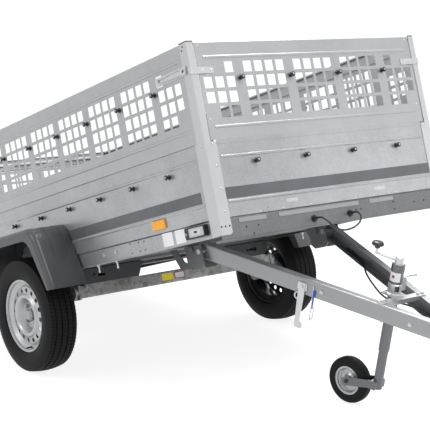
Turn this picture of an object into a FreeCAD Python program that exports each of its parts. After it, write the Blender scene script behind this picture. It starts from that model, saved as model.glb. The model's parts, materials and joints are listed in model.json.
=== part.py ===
"""Tipping utility trailer of galvanised sheet steel with mesh extension sides.

Everything on the load bed is drawn level, with the origin at the middle of the
main axle line: +X forward, +Y left, +Z up.  The bed is then tipped nose up
about that line, as it stands when its drawbar latch is open, and lifted by the
wheel radius onto the ground.  The drawbar is drawn straight, with its origin at
the knee pins, and is then turned and carried to the knee of the tipped bed.
"""
import FreeCAD
import Part
import math
import os

# Driving sizes, millimetres and degrees

# Load box
box_length = 2686.0
box_width = 1300.0
board_height = 302.0
mesh_height = 400.0
axle_setback = 1381.0
floor_height = 230.0
sheet = 2.0
sheet_bend = 2.0
floor_sheet = 2.0
board_depth = 25.0
board_lip = 12.0
bead_width = 13.0
bead_depth = 4.0
bead_from_corner = 76.0
bead_margin = 62.0
mesh_bead_low = 57.6

# Frame
frame_depth = 67.0
frame_bend = 4.0
rail_flange = 40.0
rail_wall = 3.0
rail_inset = 8.0
front_member_depth = 87.0
rail_plate_wall = 2.0
rail_plate_back = 855.0
rail_plate_margin = 4.0
rear_member_back = 450.0
cable_hole_y = -155.0
cable_return_y = 51.0
cable_hole_rise = 33.0
cable_hole_radius = 12.0

# Tail bar
tail_height = 95.2
tail_depth = 45.0
tail_length = 1040.0
tail_wall = 3.0

# Posts
lower_post_leg = 60.0
upper_post_side_leg = 48.0
upper_post_front_leg = 33.0
post_wall = 2.5
post_bend = 3.0
post_toe_radius = 14.0
cap_height = 4.0
cap_width = 5.0

# Mesh panels
hook_pitch = 268.4
front_hook_pitch = 270.9
panel_openings = 4
mesh_rows = 4
end_bay_openings = (1, 3, 3, 2)
opening_width = 44.0
opening_height = 46.0
narrow_bar = 14.0
row_pitch = 60.0
first_row_drop = 82.0
mesh_flange = 18.0
mesh_lip = 9.0

# Gates
gate_gap = 5.0
hinge_radius = 6.0
hinge_pin_radius = 3.0
hinge_length = 40.0
hinge_leaf = 30.0
hinge_place_shares = (-0.62, 0.0, 0.62)
header_depth = 20.0
front_axis_rise = 20.0
barrel_radius = 7.0
barrel_length = 36.0
corner_pin_radius = 4.0
pin_collar_radius = 6.5
pin_collar = 3.0
running_fit = 0.05
clear = 0.3

# Wheels
wheel_radius = 270.0
tyre_width = 155.0
tyre_to_board = 24.0
rim_flange_radius = 182.5
bead_seat_radius = 165.0
rim_wall = 4.0
rim_bend = 5.0
rim_edge_inset = 12.0
rim_shoulder = 14.0
rim_well_radius = 142.0
disc_offset = 14.0
disc_root = 18.0
disc_crown = 46.0
bulge_radius = 100.0
bulge_width = 16.0
disc_hole_radius = 9.5
disc_hole_circle = 125.0
holes_in_disc = 16
centre_bore = 29.0
seat_radius = 65.0

# Hubs
hub_drum_radius = 55.0
hub_drum_length = 40.0
hub_seat_radius = 30.0
spindle_radius = 18.0
spindle_reach = 18.0
bolt_circle = 50.0
wheel_bolts = 4
bolt_radius = 9.0
bolt_length = 14.0
hub_cap_radius = 27.0
hub_cap_reach = 28.0
hub_cap_wall = 6.0

# Axle
axle_tube = 60.0
axle_tube_wall = 4.0
axle_tube_corner = 8.0
axle_forward = 137.0
axle_rise = 61.0
axle_collar = 12.0
axle_collar_step = 6.0
arm_thickness = 18.0
arm_to_tyre = 56.0
arm_boss_radius = 34.0
arm_waist = 26.0
saddle_length = 310.0
saddle_to_rail = 42.0
saddle_plate = 4.0
saddle_lap = 18.0
saddle_slope_share = 0.5
keyhole_radius = 11.0
keyhole_slot = 60.0
keyhole_inset = 62.0

# Mudguards, outline measured from the wheel's centre
guard_width = 190.0
guard_wall = 3.0
guard_edge = 24.0
guard_foot = 92.0
guard_top = 388.0
guard_reach = 343.0
guard_toe = 38.0
guard_toe_step = 8.0
guard_shoulder = 246.0
guard_corner = 96.0
guard_toe_radius = 60.0
arch_reach = 307.0
arch_shoulder = 195.0
arch_top = 336.0
arch_corner = 74.0
groove_width = 36.0
groove_depth = 1.8
groove_low = 232.0
groove_shares = (0.32, 0.68)

# Standing pose
bend_deg = 27.6

# Knee
knee_forward = 901.0
knee_height = 134.0
knee_half_width = 386.7
knee_pin_radius = 8.0
pin_head_radius = 12.0
pin_head = 7.0
bracket_wall = 5.0
bracket_outward = 22.0
bracket_gap = 80.0
bracket_back = 106.0
bracket_front = 17.0
bracket_drop = 72.0
bracket_heel = 30.0
bracket_toe = 18.0
bracket_corner = 10.0
strut_reach = 233.0
strut_width = 44.0
strut_top = 212.0
strut_slant = 42.0
strut_foot = 16.0
spacer_back = 52.0
spacer_rise = 12.0
spacer_radius = 6.0
spacer_head_radius = 14.0
knee_member_back = 55.0

# Drawbar
beam_depth = 70.0
beam_flange = 36.0
beam_wall = 3.0
beam_splay_deg = 17.2
beam_margin = 6.0

# Jack
jack_forward = 759.0
jack_tube_radius = 24.0
jack_tube_wall = 3.0
jack_tube_corner = 6.0
jack_sides = 8
jack_tube_top = 166.0
jack_tube_bottom = -212.0
jack_sleeve_radius = 26.5
jack_collar_radius = 28.0
jack_collar_height = 25.0
leg_top = 30.0
leg_foot = -350.0
plate_back = 792.0
plate_front = 822.0
plate_wall = 5.0
plate_foot = 38.0
plate_flange = 14.0
clamp_height = 46.0
clamp_radius = 29.0
clamp_neck_radius = 27.0
clamp_foot_radius = 35.0
clamp_foot = 8.0
clamp_gap = 3.0
clamp_slot = 4.0
lug_reach = 13.0
lug_width = 20.0
lug_height = 72.0
window_width = 18.0
window_margin = 7.0
window_deg = -30.0
clamp_lever_deg = 68.0
lever_length = 62.0
lever_radius = 4.0
lever_rise = 14.0
lever_grip_radius = 8.0
lever_grip_length = 40.0
gear_radius = 17.5
gear_height = 32.0
gear_seat = 5.0
gear_seat_radius = 21.0
crank_deg = 231.5
crank_length = 88.0
crank_radius = 5.0
crank_rise = 22.0
knob_stem = 22.0
knob_radius = 25.0
knob_height = 29.0

# Jockey wheel
jockey_radius = 100.0
jockey_width = 48.0
jockey_trail = 138.0
jockey_swing_deg = 8.0
jockey_edge_radius = 14.0
jockey_axle_radius = 6.0
jockey_hub_radius = 16.0
jockey_rim_radius = 62.0
jockey_rim_step = 8.0
swivel_radius = 9.0
swivel_length = 24.0
fork_wall = 4.0
fork_height = 38.0
fork_gap = 6.0
fork_crown = 36.0
fork_corner = 10.0
axle_nut_radius = 10.0
axle_nut = 7.0

# Coupling
coupling_half_width = 26.0
coupling_rear = 95.0
coupling_reach = 62.0
ball_radius = 25.2
socket_depth = 35.0
head_half = 30.0
head_rise = 30.0
head_low = -8.0
head_edge = 6.0
head_nose = 52.0
dome_radius = 36.0
handle_width = 24.0
handle_wall = 5.0
handle_bend = 12.0
handle_rise = 34.0
handle_overhang = 10.0

# Tilt latch, on the right beam
latch_forward = 480.0
latch_plate_length = 44.0
latch_plate_depth = 34.0
latch_plate_wall = 5.0
lever_top_width = 30.0
lever_foot_width = 20.0
lever_drop = 180.0
lever_wall = 5.0
lever_hook = 14.0
lever_corner = 7.0
eye_radius = 15.0
eye_wire = 3.5
eye_back = 15.0
eye_drop = 44.0
clip_ahead = 48.0
clip_wire = 2.5
clip_drop = 150.0
clip_width = 16.0

# Lamps and reflectors
marker_from_front = 213.0
marker_length = 133.0
marker_rise = 13.0
marker_height = 47.0
marker_depth = 20.0
marker_corner = 8.0
lens_margin = 6.0
lens_depth = 6.0
lens_length = 92.0
reflector_from_front = 441.0
reflector_length = 90.0
reflector_rise = 17.0
reflector_height = 37.0
reflector_depth = 7.0
reflector_corner = 4.0
tail_lamp_width = 150.0
tail_lamp_height = 62.0
tail_lamp_depth = 26.0
tail_lamp_corner = 9.0
tail_lamp_inset = 24.0

# Rope hooks
hook_drop = 150.0
lower_hook_drop = 90.0
hook_base_radius = 11.0
hook_base = 4.0
hook_neck_radius = 6.0
hook_head_radius = 10.5
hook_head = 8.0
hook_reach = 22.0
hook_slope = 2.0

# Side latches and gate straps
side_latch_length = 221.0
side_latch_inset = 23.0
side_latch_height = 36.0
side_latch_drop = 107.0
side_latch_wall = 3.0
toggle_width = 27.0
toggle_depth = 9.0
toggle_wall = 3.0
claw_length = 34.0
strap_width = 27.0
strap_wall = 3.0
strap_reach = 113.0
strap_drop = 115.5
strap_step = 70.0
strap_slope = 5.0
strap_hook = 14.0
strap_bend = 1.5

# Lighting cable
cable_radius = 4.0
grommet_length = 14.0
grommet_lip = 3.0
plug_neck = 18.0
plug_neck_radius = 9.0
plug_radius = 18.0
plug_length = 74.0
plug_forward = 957.0

# Tools of the drawing
overrun = 5.0
least_turn = 0.001

# Worked out places of the bed, level

x_front = axle_setback
x_rear = axle_setback - box_length
half = box_width / 2
z_floor = floor_height
z_mid = z_floor + board_height
z_top = z_mid + mesh_height
z_frame = z_floor - frame_depth
z_member = z_floor - front_member_depth
z_tail = z_frame - tail_height
skin = half - post_wall
x_skin_front = x_front - post_wall
x_skin_rear = x_rear + post_wall
side_front = x_skin_front - post_bend
side_rear = x_skin_rear + post_bend
member_half = skin - post_bend
end_half = skin - board_depth
gate_half = half - upper_post_front_leg - gate_gap
tailgate_half = half - lower_post_leg - gate_gap
rail_face = half - rail_inset
rail_tip = rail_face - rail_flange
plate_face = rail_face + rail_plate_wall
tyre_half = tyre_width / 2
wheel_mid = half + tyre_to_board + tyre_half
hub_plane = wheel_mid + disc_offset
axle_half_length = wheel_mid - tyre_half - arm_to_tyre - arm_thickness
opening_pitch = opening_width + narrow_bar

# The bed tips until the rounded lower edge of its tail bar meets the ground

tail_edge = tail_wall + frame_bend
edge_back = -(x_rear + tail_edge)
edge_height = z_tail + tail_edge
edge_run = math.hypot(edge_back, edge_height)
tip = math.asin((wheel_radius - tail_edge) / edge_run) + math.atan2(edge_height, edge_back)
tip_deg = math.degrees(tip)

V = FreeCAD.Vector
ORIGIN = V(0, 0, 0)
X_AXIS = V(1, 0, 0)
Y_AXIS = V(0, 1, 0)
Z_AXIS = V(0, 0, 1)

NODES = {}


def add(name, shape):
    """Keep one finished sub-part under its node name."""
    NODES[name] = shape


# Shape helpers

def block(x0, x1, y0, y1, z0, z1):
    """A box between two corners given in any order."""
    low = V(min(x0, x1), min(y0, y1), min(z0, z1))
    return Part.makeBox(abs(x1 - x0), abs(y1 - y0), abs(z1 - z0), low)


def outline(corners, radii):
    """Closed wire through the corners, each rounded by its radius."""
    if not isinstance(radii, list):
        radii = [radii] * len(corners)
    bends = []
    for i, corner in enumerate(corners):
        back = (corners[i - 1] - corner).normalize()
        ahead = (corners[(i + 1) % len(corners)] - corner).normalize()
        turn = math.pi - back.getAngle(ahead)
        if radii[i] == 0 or turn < least_turn:
            bends.append((corner, None, corner))
            continue
        reach = radii[i] * math.tan(turn / 2)
        way = (back + ahead).normalize()
        middle = corner + way * (radii[i] / math.cos(turn / 2) - radii[i])
        bends.append((corner + back * reach, middle, corner + ahead * reach))
    edges = []
    last = bends[-1][2]
    for start, middle, end in bends:
        if (start - last).Length > least_turn:
            edges.append(Part.LineSegment(last, start).toShape())
        if middle is not None:
            edges.append(Part.Arc(start, middle, end).toShape())
        last = end
    return Part.Wire(edges)


def flat(points, axis, place, radii=0):
    """A face square to one axis: x takes (y, z), y takes (x, z), z takes (x, y)."""
    lay = {
        "x": lambda u, v: V(place, u, v),
        "y": lambda u, v: V(u, place, v),
        "z": lambda u, v: V(u, v, place),
    }[axis]
    return Part.Face(outline([lay(u, v) for u, v in points], radii))


def prism(points, axis, start, end, radii=0):
    """A flat outline, its corners rounded, pushed along one axis."""
    push = {"x": X_AXIS, "y": Y_AXIS, "z": Z_AXIS}[axis] * (end - start)
    return flat(points, axis, start, radii).extrude(push)


def rect(u0, u1, v0, v1):
    """Corners of a rectangle."""
    return [(u0, v0), (u1, v0), (u1, v1), (u0, v1)]


def bent(path, wall, bend):
    """Outline and corner radii of a bent sheet, with the path as one face and the wall to its left."""
    normals = []
    for (u0, v0), (u1, v1) in zip(path, path[1:]):
        run = math.hypot(u1 - u0, v1 - v0)
        normals.append((-(v1 - v0) / run, (u1 - u0) / run))
    far, near_radii, far_radii = [], [], []
    last = len(path) - 1
    for i, (u, v) in enumerate(path):
        before = normals[max(i - 1, 0)]
        after = normals[min(i, last - 1)]
        spread = 1 + before[0] * after[0] + before[1] * after[1]
        far.append((u + wall * (before[0] + after[0]) / spread, v + wall * (before[1] + after[1]) / spread))
        left_turn = before[0] * after[1] - before[1] * after[0] > 0
        inner, outer = (0, 0) if i in (0, last) else (bend, bend + wall)
        near_radii.append(outer if left_turn else inner)
        far_radii.append(inner if left_turn else outer)
    return path + far[::-1], near_radii + far_radii[::-1]


def bent_prism(path, wall, bend, axis, start, end):
    """A bent sheet of one section, pushed along an axis."""
    points, radii = bent(path, wall, bend)
    return prism(points, axis, start, end, radii)


def c_section(web, low, high, flange):
    """Path round a C section: a web at one place, flanges backward, or forward where negative."""
    path = [(web - flange, low), (web, low), (web, high), (web - flange, high)]
    return path if flange > 0 else path[::-1]


def rod(start, end, radius):
    """A round bar between two points."""
    run = end - start
    return Part.makeCylinder(radius, run.Length, start, run)


def cone(start, end, first, last):
    """A round bar that tapers between two points."""
    run = end - start
    return Part.makeCone(first, last, run.Length, start, run)


def turned(profile, radii=0):
    """Revolve a closed (radius, y) outline about the Y axis."""
    corners = [V(radius, y, 0) for radius, y in profile]
    return Part.Face(outline(corners, radii)).revolve(ORIGIN, Y_AXIS, 360)


def upright(shape, foot):
    """Stand a piece turned about the Y axis on end, with its own origin at the foot."""
    shape.rotate(ORIGIN, X_AXIS, 90)
    shape.translate(foot)
    return shape


def round_edges(shape, radius, wanted):
    """The shape with its wanted edges rounded."""
    return shape.makeFillet(radius, [edge for edge in shape.Edges if wanted(edge)])


def fuse(shapes):
    """One solid from pieces that meet."""
    body = shapes[0]
    if len(shapes) > 1:
        body = body.multiFuse(shapes[1:])
    return body.removeSplitter()


def group(shapes):
    """Several separate solids kept in one node."""
    solids = []
    for shape in shapes:
        solids.extend(shape.Solids)
    return Part.makeCompound(solids)


def mirrored(shape):
    """The same piece on the other side of the trailer."""
    return shape.mirror(ORIGIN, Y_AXIS)


def both(shape):
    """A piece and its mirror image."""
    return [shape, mirrored(shape)]


def facing(shape, direction_deg, place):
    """Turn a piece drawn outward along +Y to face another way, and carry it to its place."""
    moved = shape.copy()
    moved.rotate(ORIGIN, Z_AXIS, direction_deg)
    moved.translate(place)
    return moved


to_front = -90
to_rear = 90


# Panels: each is drawn in its own frame, outer skin on y = 0, outward +Y

bead_radius = (bead_depth ** 2 + (bead_width / 2) ** 2) / (2 * bead_depth)


def pressed_bead(start, end, height):
    """What a ridge pressed out of the skin adds in front, and its hollow behind."""
    first = V(start, bead_depth - bead_radius, height)
    last = V(end, bead_depth - bead_radius, height)
    bars = []
    for radius in (bead_radius, bead_radius - sheet):
        bars.append(fuse([rod(first, last, radius), Part.makeSphere(radius, first),
                          Part.makeSphere(radius, last)]))
    full, hollow = bars
    front = block(start - bead_width, end + bead_width, -sheet, bead_depth, height - bead_width,
                  height + bead_width)
    return full.common(front), hollow


def with_beads(panel, start, end, heights):
    """The panel with its pressed ridges."""
    pairs = [pressed_bead(start, end, height) for height in heights]
    raised = fuse([panel] + [ridge for ridge, _ in pairs])
    return raised.cut(Part.makeCompound([hollow for _, hollow in pairs])).removeSplitter()


def board(start, end, low, bead_start, bead_end):
    """Board with a floor flange, two beads and a folded top edge."""
    path = [(-board_depth, low), (0, low), (0, z_mid), (-board_depth, z_mid),
            (-board_depth, z_mid - board_lip)]
    panel = bent_prism(path, sheet, sheet_bend, "x", start, end)
    return with_beads(panel, bead_start, bead_end, (z_floor + bead_margin, z_mid - bead_margin))


def side_board():
    """Left side board, flanges inward."""
    panel = board(side_rear, side_front, z_floor, x_rear + bead_from_corner, x_front - bead_from_corner)
    return facing(panel, 0, V(0, skin, 0))


def end_board(face, direction, low, reach):
    """A board across the bed, its skin at face."""
    beads = half - bead_from_corner
    return facing(board(-reach, reach, low, -beads, beads), direction, V(face, 0, 0))


def floor_panel():
    """Flat floor sheet inside the bottom flanges."""
    return block(x_skin_rear + gate_gap, x_skin_front - board_depth, -end_half, end_half,
                 z_floor, z_floor + floor_sheet)


def opening_starts(bars, bar_width, row):
    """Where each opening of a row starts, for wide bars centred at bars."""
    starts = []
    for left in bars[:-1]:
        for i in range(panel_openings):
            starts.append(left + bar_width / 2 + i * opening_pitch)
    for i in range(end_bay_openings[row]):
        starts.append(bars[0] - bar_width / 2 - opening_width - i * opening_pitch)
        starts.append(bars[-1] + bar_width / 2 + i * opening_pitch)
    return starts


def wide_bar(pitch):
    """What the openings leave of one pitch for the bar that carries a rope hook."""
    return pitch - panel_openings * opening_width - (panel_openings - 1) * narrow_bar


def side_bars():
    """Places along X of the wide bars of a side."""
    count = round(box_length / hook_pitch) - 1
    first = x_front - (box_length - (count - 1) * hook_pitch) / 2
    return sorted(first - i * hook_pitch for i in range(count))


def end_bars():
    """Places across the bed of the wide bars of an end panel."""
    count = round(box_width / front_hook_pitch) - 1
    return [(i - (count - 1) / 2) * front_hook_pitch for i in range(count)]


def mesh(start, end, path, bars, pitch, bead_start, bead_end):
    """Punched mesh panel with two beads and folded edges."""
    panel = bent_prism(path, sheet, sheet_bend, "x", start, end)
    panel = with_beads(panel, bead_start, bead_end, (z_mid + mesh_bead_low, z_top - bead_margin))
    cuts = []
    for row in range(mesh_rows):
        top = z_top - first_row_drop - row * row_pitch
        for left in opening_starts(bars, wide_bar(pitch), row):
            cuts.append(block(left, left + opening_width, -sheet - overrun, overrun, top - opening_height,
                              top))
    return panel.cut(Part.makeCompound(cuts))


def mesh_path(low, high):
    """Skin of a gate's mesh panel with its folded top edge."""
    return [(0, low), (0, high), (-mesh_flange, high), (-mesh_flange, high - mesh_lip)]


def side_mesh():
    """Left mesh panel, seated by a flange on the side board."""
    path = [(-mesh_flange, z_mid)] + mesh_path(z_mid, z_top)
    panel = mesh(side_rear, side_front, path, side_bars(), hook_pitch,
                 x_rear + bead_from_corner, x_front - bead_from_corner)
    return facing(panel, 0, V(0, skin, 0))


def end_mesh(face, direction, low, high):
    """A gate panel of punched sheet across the bed, its skin at face."""
    beads = half - bead_from_corner
    panel = mesh(-gate_half, gate_half, mesh_path(low, high), end_bars(), front_hook_pitch, -beads, beads)
    return facing(panel, direction, V(face, 0, 0))


# Corner posts

def corner_post(corner_x, inward, side_leg, end_leg, low, high, wall, bend):
    """A folded L section on the left side whose outer faces meet at the corner."""
    path = [(corner_x + inward * side_leg, half), (corner_x, half), (corner_x, half - end_leg)]
    if inward < 0:
        path.reverse()
    return bent_prism(path, wall, bend, "z", low, high)


def posts():
    """Lower posts, upper posts and their caps at the four corners."""
    lower, upper, caps = [], [], []
    legs = (upper_post_side_leg, upper_post_front_leg)
    for corner_x, inward in ((x_front, -1), (x_rear, 1)):
        post = corner_post(corner_x, inward, lower_post_leg, lower_post_leg, z_frame, z_mid, post_wall,
                           post_bend)
        toe_x = corner_x + inward * lower_post_leg
        toe_y = half - lower_post_leg

        def at_toe(edge):
            centre = edge.BoundBox.Center
            across = abs(centre.x - toe_x) < least_turn or abs(centre.y - toe_y) < least_turn
            return across and edge.Length < 2 * post_wall and abs(centre.z - z_frame) < least_turn

        lower += both(round_edges(post, post_toe_radius, at_toe))
        upper += both(corner_post(corner_x, inward, *legs, z_mid, z_top, post_wall, post_bend))
        caps += both(corner_post(corner_x, inward, *legs, z_top, z_top + cap_height, cap_width, least_turn))
    return lower, upper, caps


# Hinges of the gates

def hinge(axis_x, axis_z, leaf_x, leaf_z, gate_leaf_x, gate_leaf_z):
    """Bed knuckles with their pins, and gate knuckles, three of each along the hinge line."""
    bed, gate = [], []
    knuckle = hinge_length / 2
    for share in hinge_place_shares:
        middle = share * gate_half
        start = V(axis_x, middle - knuckle, axis_z)
        centre = V(axis_x, middle, axis_z)
        tip_end = V(axis_x, middle + 2 * knuckle, axis_z)
        leaf = block(axis_x, leaf_x, middle - knuckle, middle, axis_z, leaf_z)
        bed.append(fuse([rod(start, centre, hinge_radius), rod(start, tip_end, hinge_pin_radius), leaf]))
        first = V(axis_x, middle + clear, axis_z)
        last = V(axis_x, middle + knuckle, axis_z)
        sleeve = fuse([rod(first, last, hinge_radius),
                       block(axis_x, gate_leaf_x, first.y, last.y, axis_z, gate_leaf_z)])
        gate.append(sleeve.cut(rod(first, tip_end, hinge_pin_radius + running_fit)))
    return bed, gate


front_axis_x = x_skin_front - barrel_radius
front_axis_z = z_mid + front_axis_rise
front_gate_low = front_axis_z - math.sqrt((front_axis_rise - gate_gap) ** 2 - barrel_radius ** 2)


def corner_barrel():
    """Left rolled barrel behind the foot of the front mesh, before its bore is cut."""
    return rod(V(front_axis_x, gate_half - barrel_length, front_axis_z),
               V(front_axis_x, gate_half, front_axis_z), barrel_radius)


def corner_pin(radius):
    """Left pin of the front mesh, from inside its barrel to the side panel."""
    return rod(V(front_axis_x, gate_half - barrel_length, front_axis_z),
               V(front_axis_x, skin - sheet, front_axis_z), radius)


def collared_pin():
    """The left pin with its collar against the side panel."""
    collar = rod(V(front_axis_x, skin - sheet - pin_collar, front_axis_z),
                 V(front_axis_x, skin - sheet, front_axis_z), pin_collar_radius)
    return fuse([corner_pin(corner_pin_radius), collar])


def rear_header():
    """Folded angle across the tops of the rear posts, which carries the rear mesh gate."""
    path = [(x_skin_rear + header_depth, z_top), (x_skin_rear, z_top), (x_skin_rear, z_top - header_depth)]
    return bent_prism(path, sheet, sheet_bend, "y", -end_half, end_half)


# Frame under the floor

def frame_rail():
    """Left rail between the end members, with the plate on its front part that carries the marker lamp."""
    rail = bent_prism(c_section(rail_face, z_frame, z_floor, rail_flange), rail_wall, frame_bend,
                      "x", x_skin_rear + rail_flange, x_skin_front - rail_flange)
    plate = block(rail_plate_back, x_skin_front - rail_flange, rail_face, plate_face,
                  z_frame + rail_plate_margin + frame_bend, z_floor - rail_plate_margin - frame_bend)
    return fuse([rail, plate])


knee_member_front = knee_forward - knee_member_back
strut_member_front = knee_forward - strut_reach + strut_width
axle_member_front = axle_forward + rail_flange / 2
cable_hole_z = z_member + cable_hole_rise


def cross_member(front):
    """C section across the bed between the rails."""
    return bent_prism(c_section(front, z_frame, z_floor, rail_flange), rail_wall, frame_bend, "y",
                      -rail_tip, rail_tip)


def cross_members():
    """Front and rear end members, and four between."""
    front = bent_prism(c_section(x_skin_front, z_member, z_floor, rail_flange), rail_wall, frame_bend,
                       "y", -member_half, member_half)
    rear = bent_prism(c_section(x_skin_rear, z_frame, z_floor, -rail_flange), rail_wall, frame_bend,
                      "y", -member_half, member_half)
    inner = [cross_member(place) for place in (knee_member_front, strut_member_front, axle_member_front,
                                               -rear_member_back)]
    for y in (cable_hole_y, cable_return_y):
        front = front.cut(rod(V(x_front - rail_flange, y, cable_hole_z),
                              V(x_front + overrun, y, cable_hole_z), cable_hole_radius))
    return [front, rear] + inner


def tail_bar():
    """Lamp carrier under the rear member; its rounded lower edge meets the ground when the bed tips."""
    return bent_prism(c_section(x_rear, z_tail, z_frame, -tail_depth), tail_wall, frame_bend,
                      "y", -tail_length / 2, tail_length / 2)


# Axle, arms and hubs

saddle_outer = rail_tip - saddle_to_rail
saddle_inner = saddle_outer - saddle_length


def square_tube(size, y0, y1, corner):
    """A square bar with rounded corners about the axle tube's line."""
    reach = size / 2
    return prism(rect(axle_forward - reach, axle_forward + reach, axle_rise - reach, axle_rise + reach),
                 "y", y0, y1, corner)


def axle_beam():
    """Square axle tube with end collars and two saddle brackets that carry the frame on it."""
    tube = square_tube(axle_tube, -axle_half_length, axle_half_length, axle_tube_corner)
    pieces = [tube]
    for side in (-1, 1):
        end = side * axle_half_length
        pieces.append(square_tube(axle_tube + 2 * axle_collar_step, min(end, end - side * axle_collar),
                                  max(end, end - side * axle_collar), axle_tube_corner))
    bored = fuse(pieces).cut(square_tube(axle_tube - 2 * axle_tube_wall, -axle_half_length, axle_half_length,
                                         axle_tube_corner - axle_tube_wall))
    x0 = axle_forward - axle_tube / 2
    x1 = axle_forward + axle_tube / 2
    z1 = axle_rise + axle_tube / 2
    slope = (z_frame - z1) * saddle_slope_share
    saddles = []
    for side in (-1, 1):
        plate = prism([(side * saddle_inner, z1 - saddle_lap), (side * saddle_outer, z1 - saddle_lap),
                       (side * saddle_outer, z1), (side * (saddle_outer + slope), z_frame),
                       (side * (saddle_inner - slope), z_frame), (side * saddle_inner, z1)],
                      "x", x1, x1 + saddle_plate)
        hole_y = side * (saddle_outer - keyhole_inset)
        hole_z = (z1 + z_frame) / 2
        far = x1 + saddle_plate + overrun
        hole = rod(V(x1 - overrun, hole_y, hole_z), V(far, hole_y, hole_z), keyhole_radius)
        slot = block(x1 - overrun, far, hole_y, hole_y - side * keyhole_slot,
                     hole_z - keyhole_radius / 2, hole_z + keyhole_radius / 2)
        front = plate.cut(hole).cut(slot)
        back = front.copy()
        back.translate(V(-saddle_plate - axle_tube, 0, 0))
        top = block(x0, x1, side * (saddle_inner - slope), side * (saddle_outer + slope),
                    z_frame - saddle_plate, z_frame)
        saddles += [front, back, top]
    return fuse([bored] + saddles)


def trailing_arms():
    """Left arm of the axle and its mirror image, each with its hub spindle."""
    y0 = axle_half_length
    y1 = y0 + arm_thickness
    root = rod(V(axle_forward, y0, axle_rise), V(axle_forward, y1, axle_rise), arm_boss_radius)
    eye = rod(V(0, y0, 0), V(0, y1, 0), arm_boss_radius)
    run = math.hypot(axle_forward, axle_rise)
    nx, nz = -axle_rise / run * arm_waist, axle_forward / run * arm_waist
    web = prism([(nx, nz), (axle_forward + nx, axle_rise + nz), (axle_forward - nx, axle_rise - nz),
                 (-nx, -nz)], "y", y0, y1)
    drum_back = hub_plane - hub_drum_length
    stub = rod(V(0, y1, 0), V(0, drum_back - clear, 0), hub_seat_radius)
    spindle = rod(V(0, drum_back - clear, 0), V(0, hub_plane + spindle_reach, 0), spindle_radius)
    return both(fuse([root, eye, web, stub, spindle]))


# Mudguards

guard_inner = skin + bead_depth + clear
guard_outer = guard_inner + guard_width


def guard_face(place, foot, inset):
    """Outline of the guard as a face, inset all round."""
    side = [(guard_reach, foot), (guard_reach - guard_toe_step, guard_foot + guard_toe),
            (guard_shoulder, guard_top)]
    radii = [0, guard_toe_radius, guard_corner]
    face = flat(side + [(-x, z) for x, z in side[::-1]], "y", place, radii + radii[::-1])
    return face.makeOffset2D(-inset) if inset else face


def guard_solid(y0, y1, foot, inset, edge):
    """The guard's outline pushed over its width, its outer rim rounded."""
    solid = guard_face(y0, foot, inset).extrude(Y_AXIS * (y1 - y0))
    low = solid.BoundBox.ZMin
    return round_edges(solid, edge,
                       lambda rim: rim.BoundBox.YMin > y1 - least_turn and rim.BoundBox.ZMax > low + edge)


def mudguard():
    """Left mudguard: moulded shell over the tyre with two pressed grooves, open below."""
    shell = guard_solid(guard_inner, guard_outer, guard_foot, 0, guard_edge)
    hollow = guard_solid(guard_inner + guard_wall, guard_outer - guard_wall, guard_foot - 2 * overrun,
                         guard_wall, guard_edge - guard_wall)
    low = guard_foot - 3 * overrun
    arch = [(arch_reach, low), (arch_reach, guard_foot), (arch_shoulder, arch_top)]
    radii = [0, 0, arch_corner]
    window = prism(arch + [(-x, z) for x, z in arch[::-1]], "y", guard_inner - overrun,
                   guard_outer + overrun, radii + radii[::-1])
    band = guard_face(guard_inner, guard_foot, 0).extrude(Y_AXIS * guard_width).cut(
        guard_face(guard_inner, guard_foot - overrun, groove_depth).extrude(Y_AXIS * guard_width))
    grooves = []
    for share in groove_shares:
        middle = guard_inner + share * guard_width
        lane = prism(rect(middle - groove_width / 2, middle + groove_width / 2, groove_low,
                          guard_top + overrun), "x", -guard_reach, guard_reach,
                     [groove_width / 2 - clear, groove_width / 2 - clear, 0, 0])
        grooves.append(band.common(lane))
    return shell.cut(hollow).cut(window).cut(Part.makeCompound(grooves))


# Main wheels

rim_edge = tyre_half - rim_edge_inset


def inner_seat():
    """The rim's tyre side near the bed: flange edge, bead seat and shoulder, (radius, y)."""
    return [(rim_flange_radius, -rim_edge), (bead_seat_radius, -rim_edge + rim_wall),
            (bead_seat_radius, -rim_edge + rim_shoulder)]


def outer_seat():
    """The rim's tyre side away from the bed."""
    return [(radius, -y) for radius, y in inner_seat()[::-1]]


def main_rim():
    """Pressed steel rim and dished disc, outer face towards plus Y, centred on its mid plane."""
    well = [(rim_well_radius, -rim_edge + 2 * rim_shoulder), (rim_well_radius, rim_edge - 2 * rim_shoulder)]
    points, radii = bent(inner_seat() + well + outer_seat(), rim_wall, 0)
    barrel = turned(points, radii)
    level = disc_offset + rim_wall
    hole_level = (disc_root + disc_crown) / 3
    path = [(rim_well_radius - rim_wall / 2, disc_root),
            (disc_hole_circle + disc_hole_radius, disc_root + rim_wall),
            (disc_hole_circle - disc_hole_radius, hole_level),
            (bulge_radius + rim_bend, disc_crown - rim_bend),
            (bulge_radius, disc_crown), (bulge_radius - bulge_width, disc_crown),
            (bulge_radius - bulge_width - rim_bend, disc_crown - rim_bend), (seat_radius, level),
            (centre_bore, level)]
    points, radii = bent(path, rim_wall, 0)
    holes = []
    for i in range(holes_in_disc):
        turn = 2 * math.pi * i / holes_in_disc
        middle = V(disc_hole_circle * math.cos(turn), 0, disc_hole_circle * math.sin(turn))
        holes.append(rod(middle - Y_AXIS * rim_edge, middle + Y_AXIS * rim_edge, disc_hole_radius))
    disc = turned(points, radii).cut(Part.makeCompound(holes))
    return fuse([barrel, disc])


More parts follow.
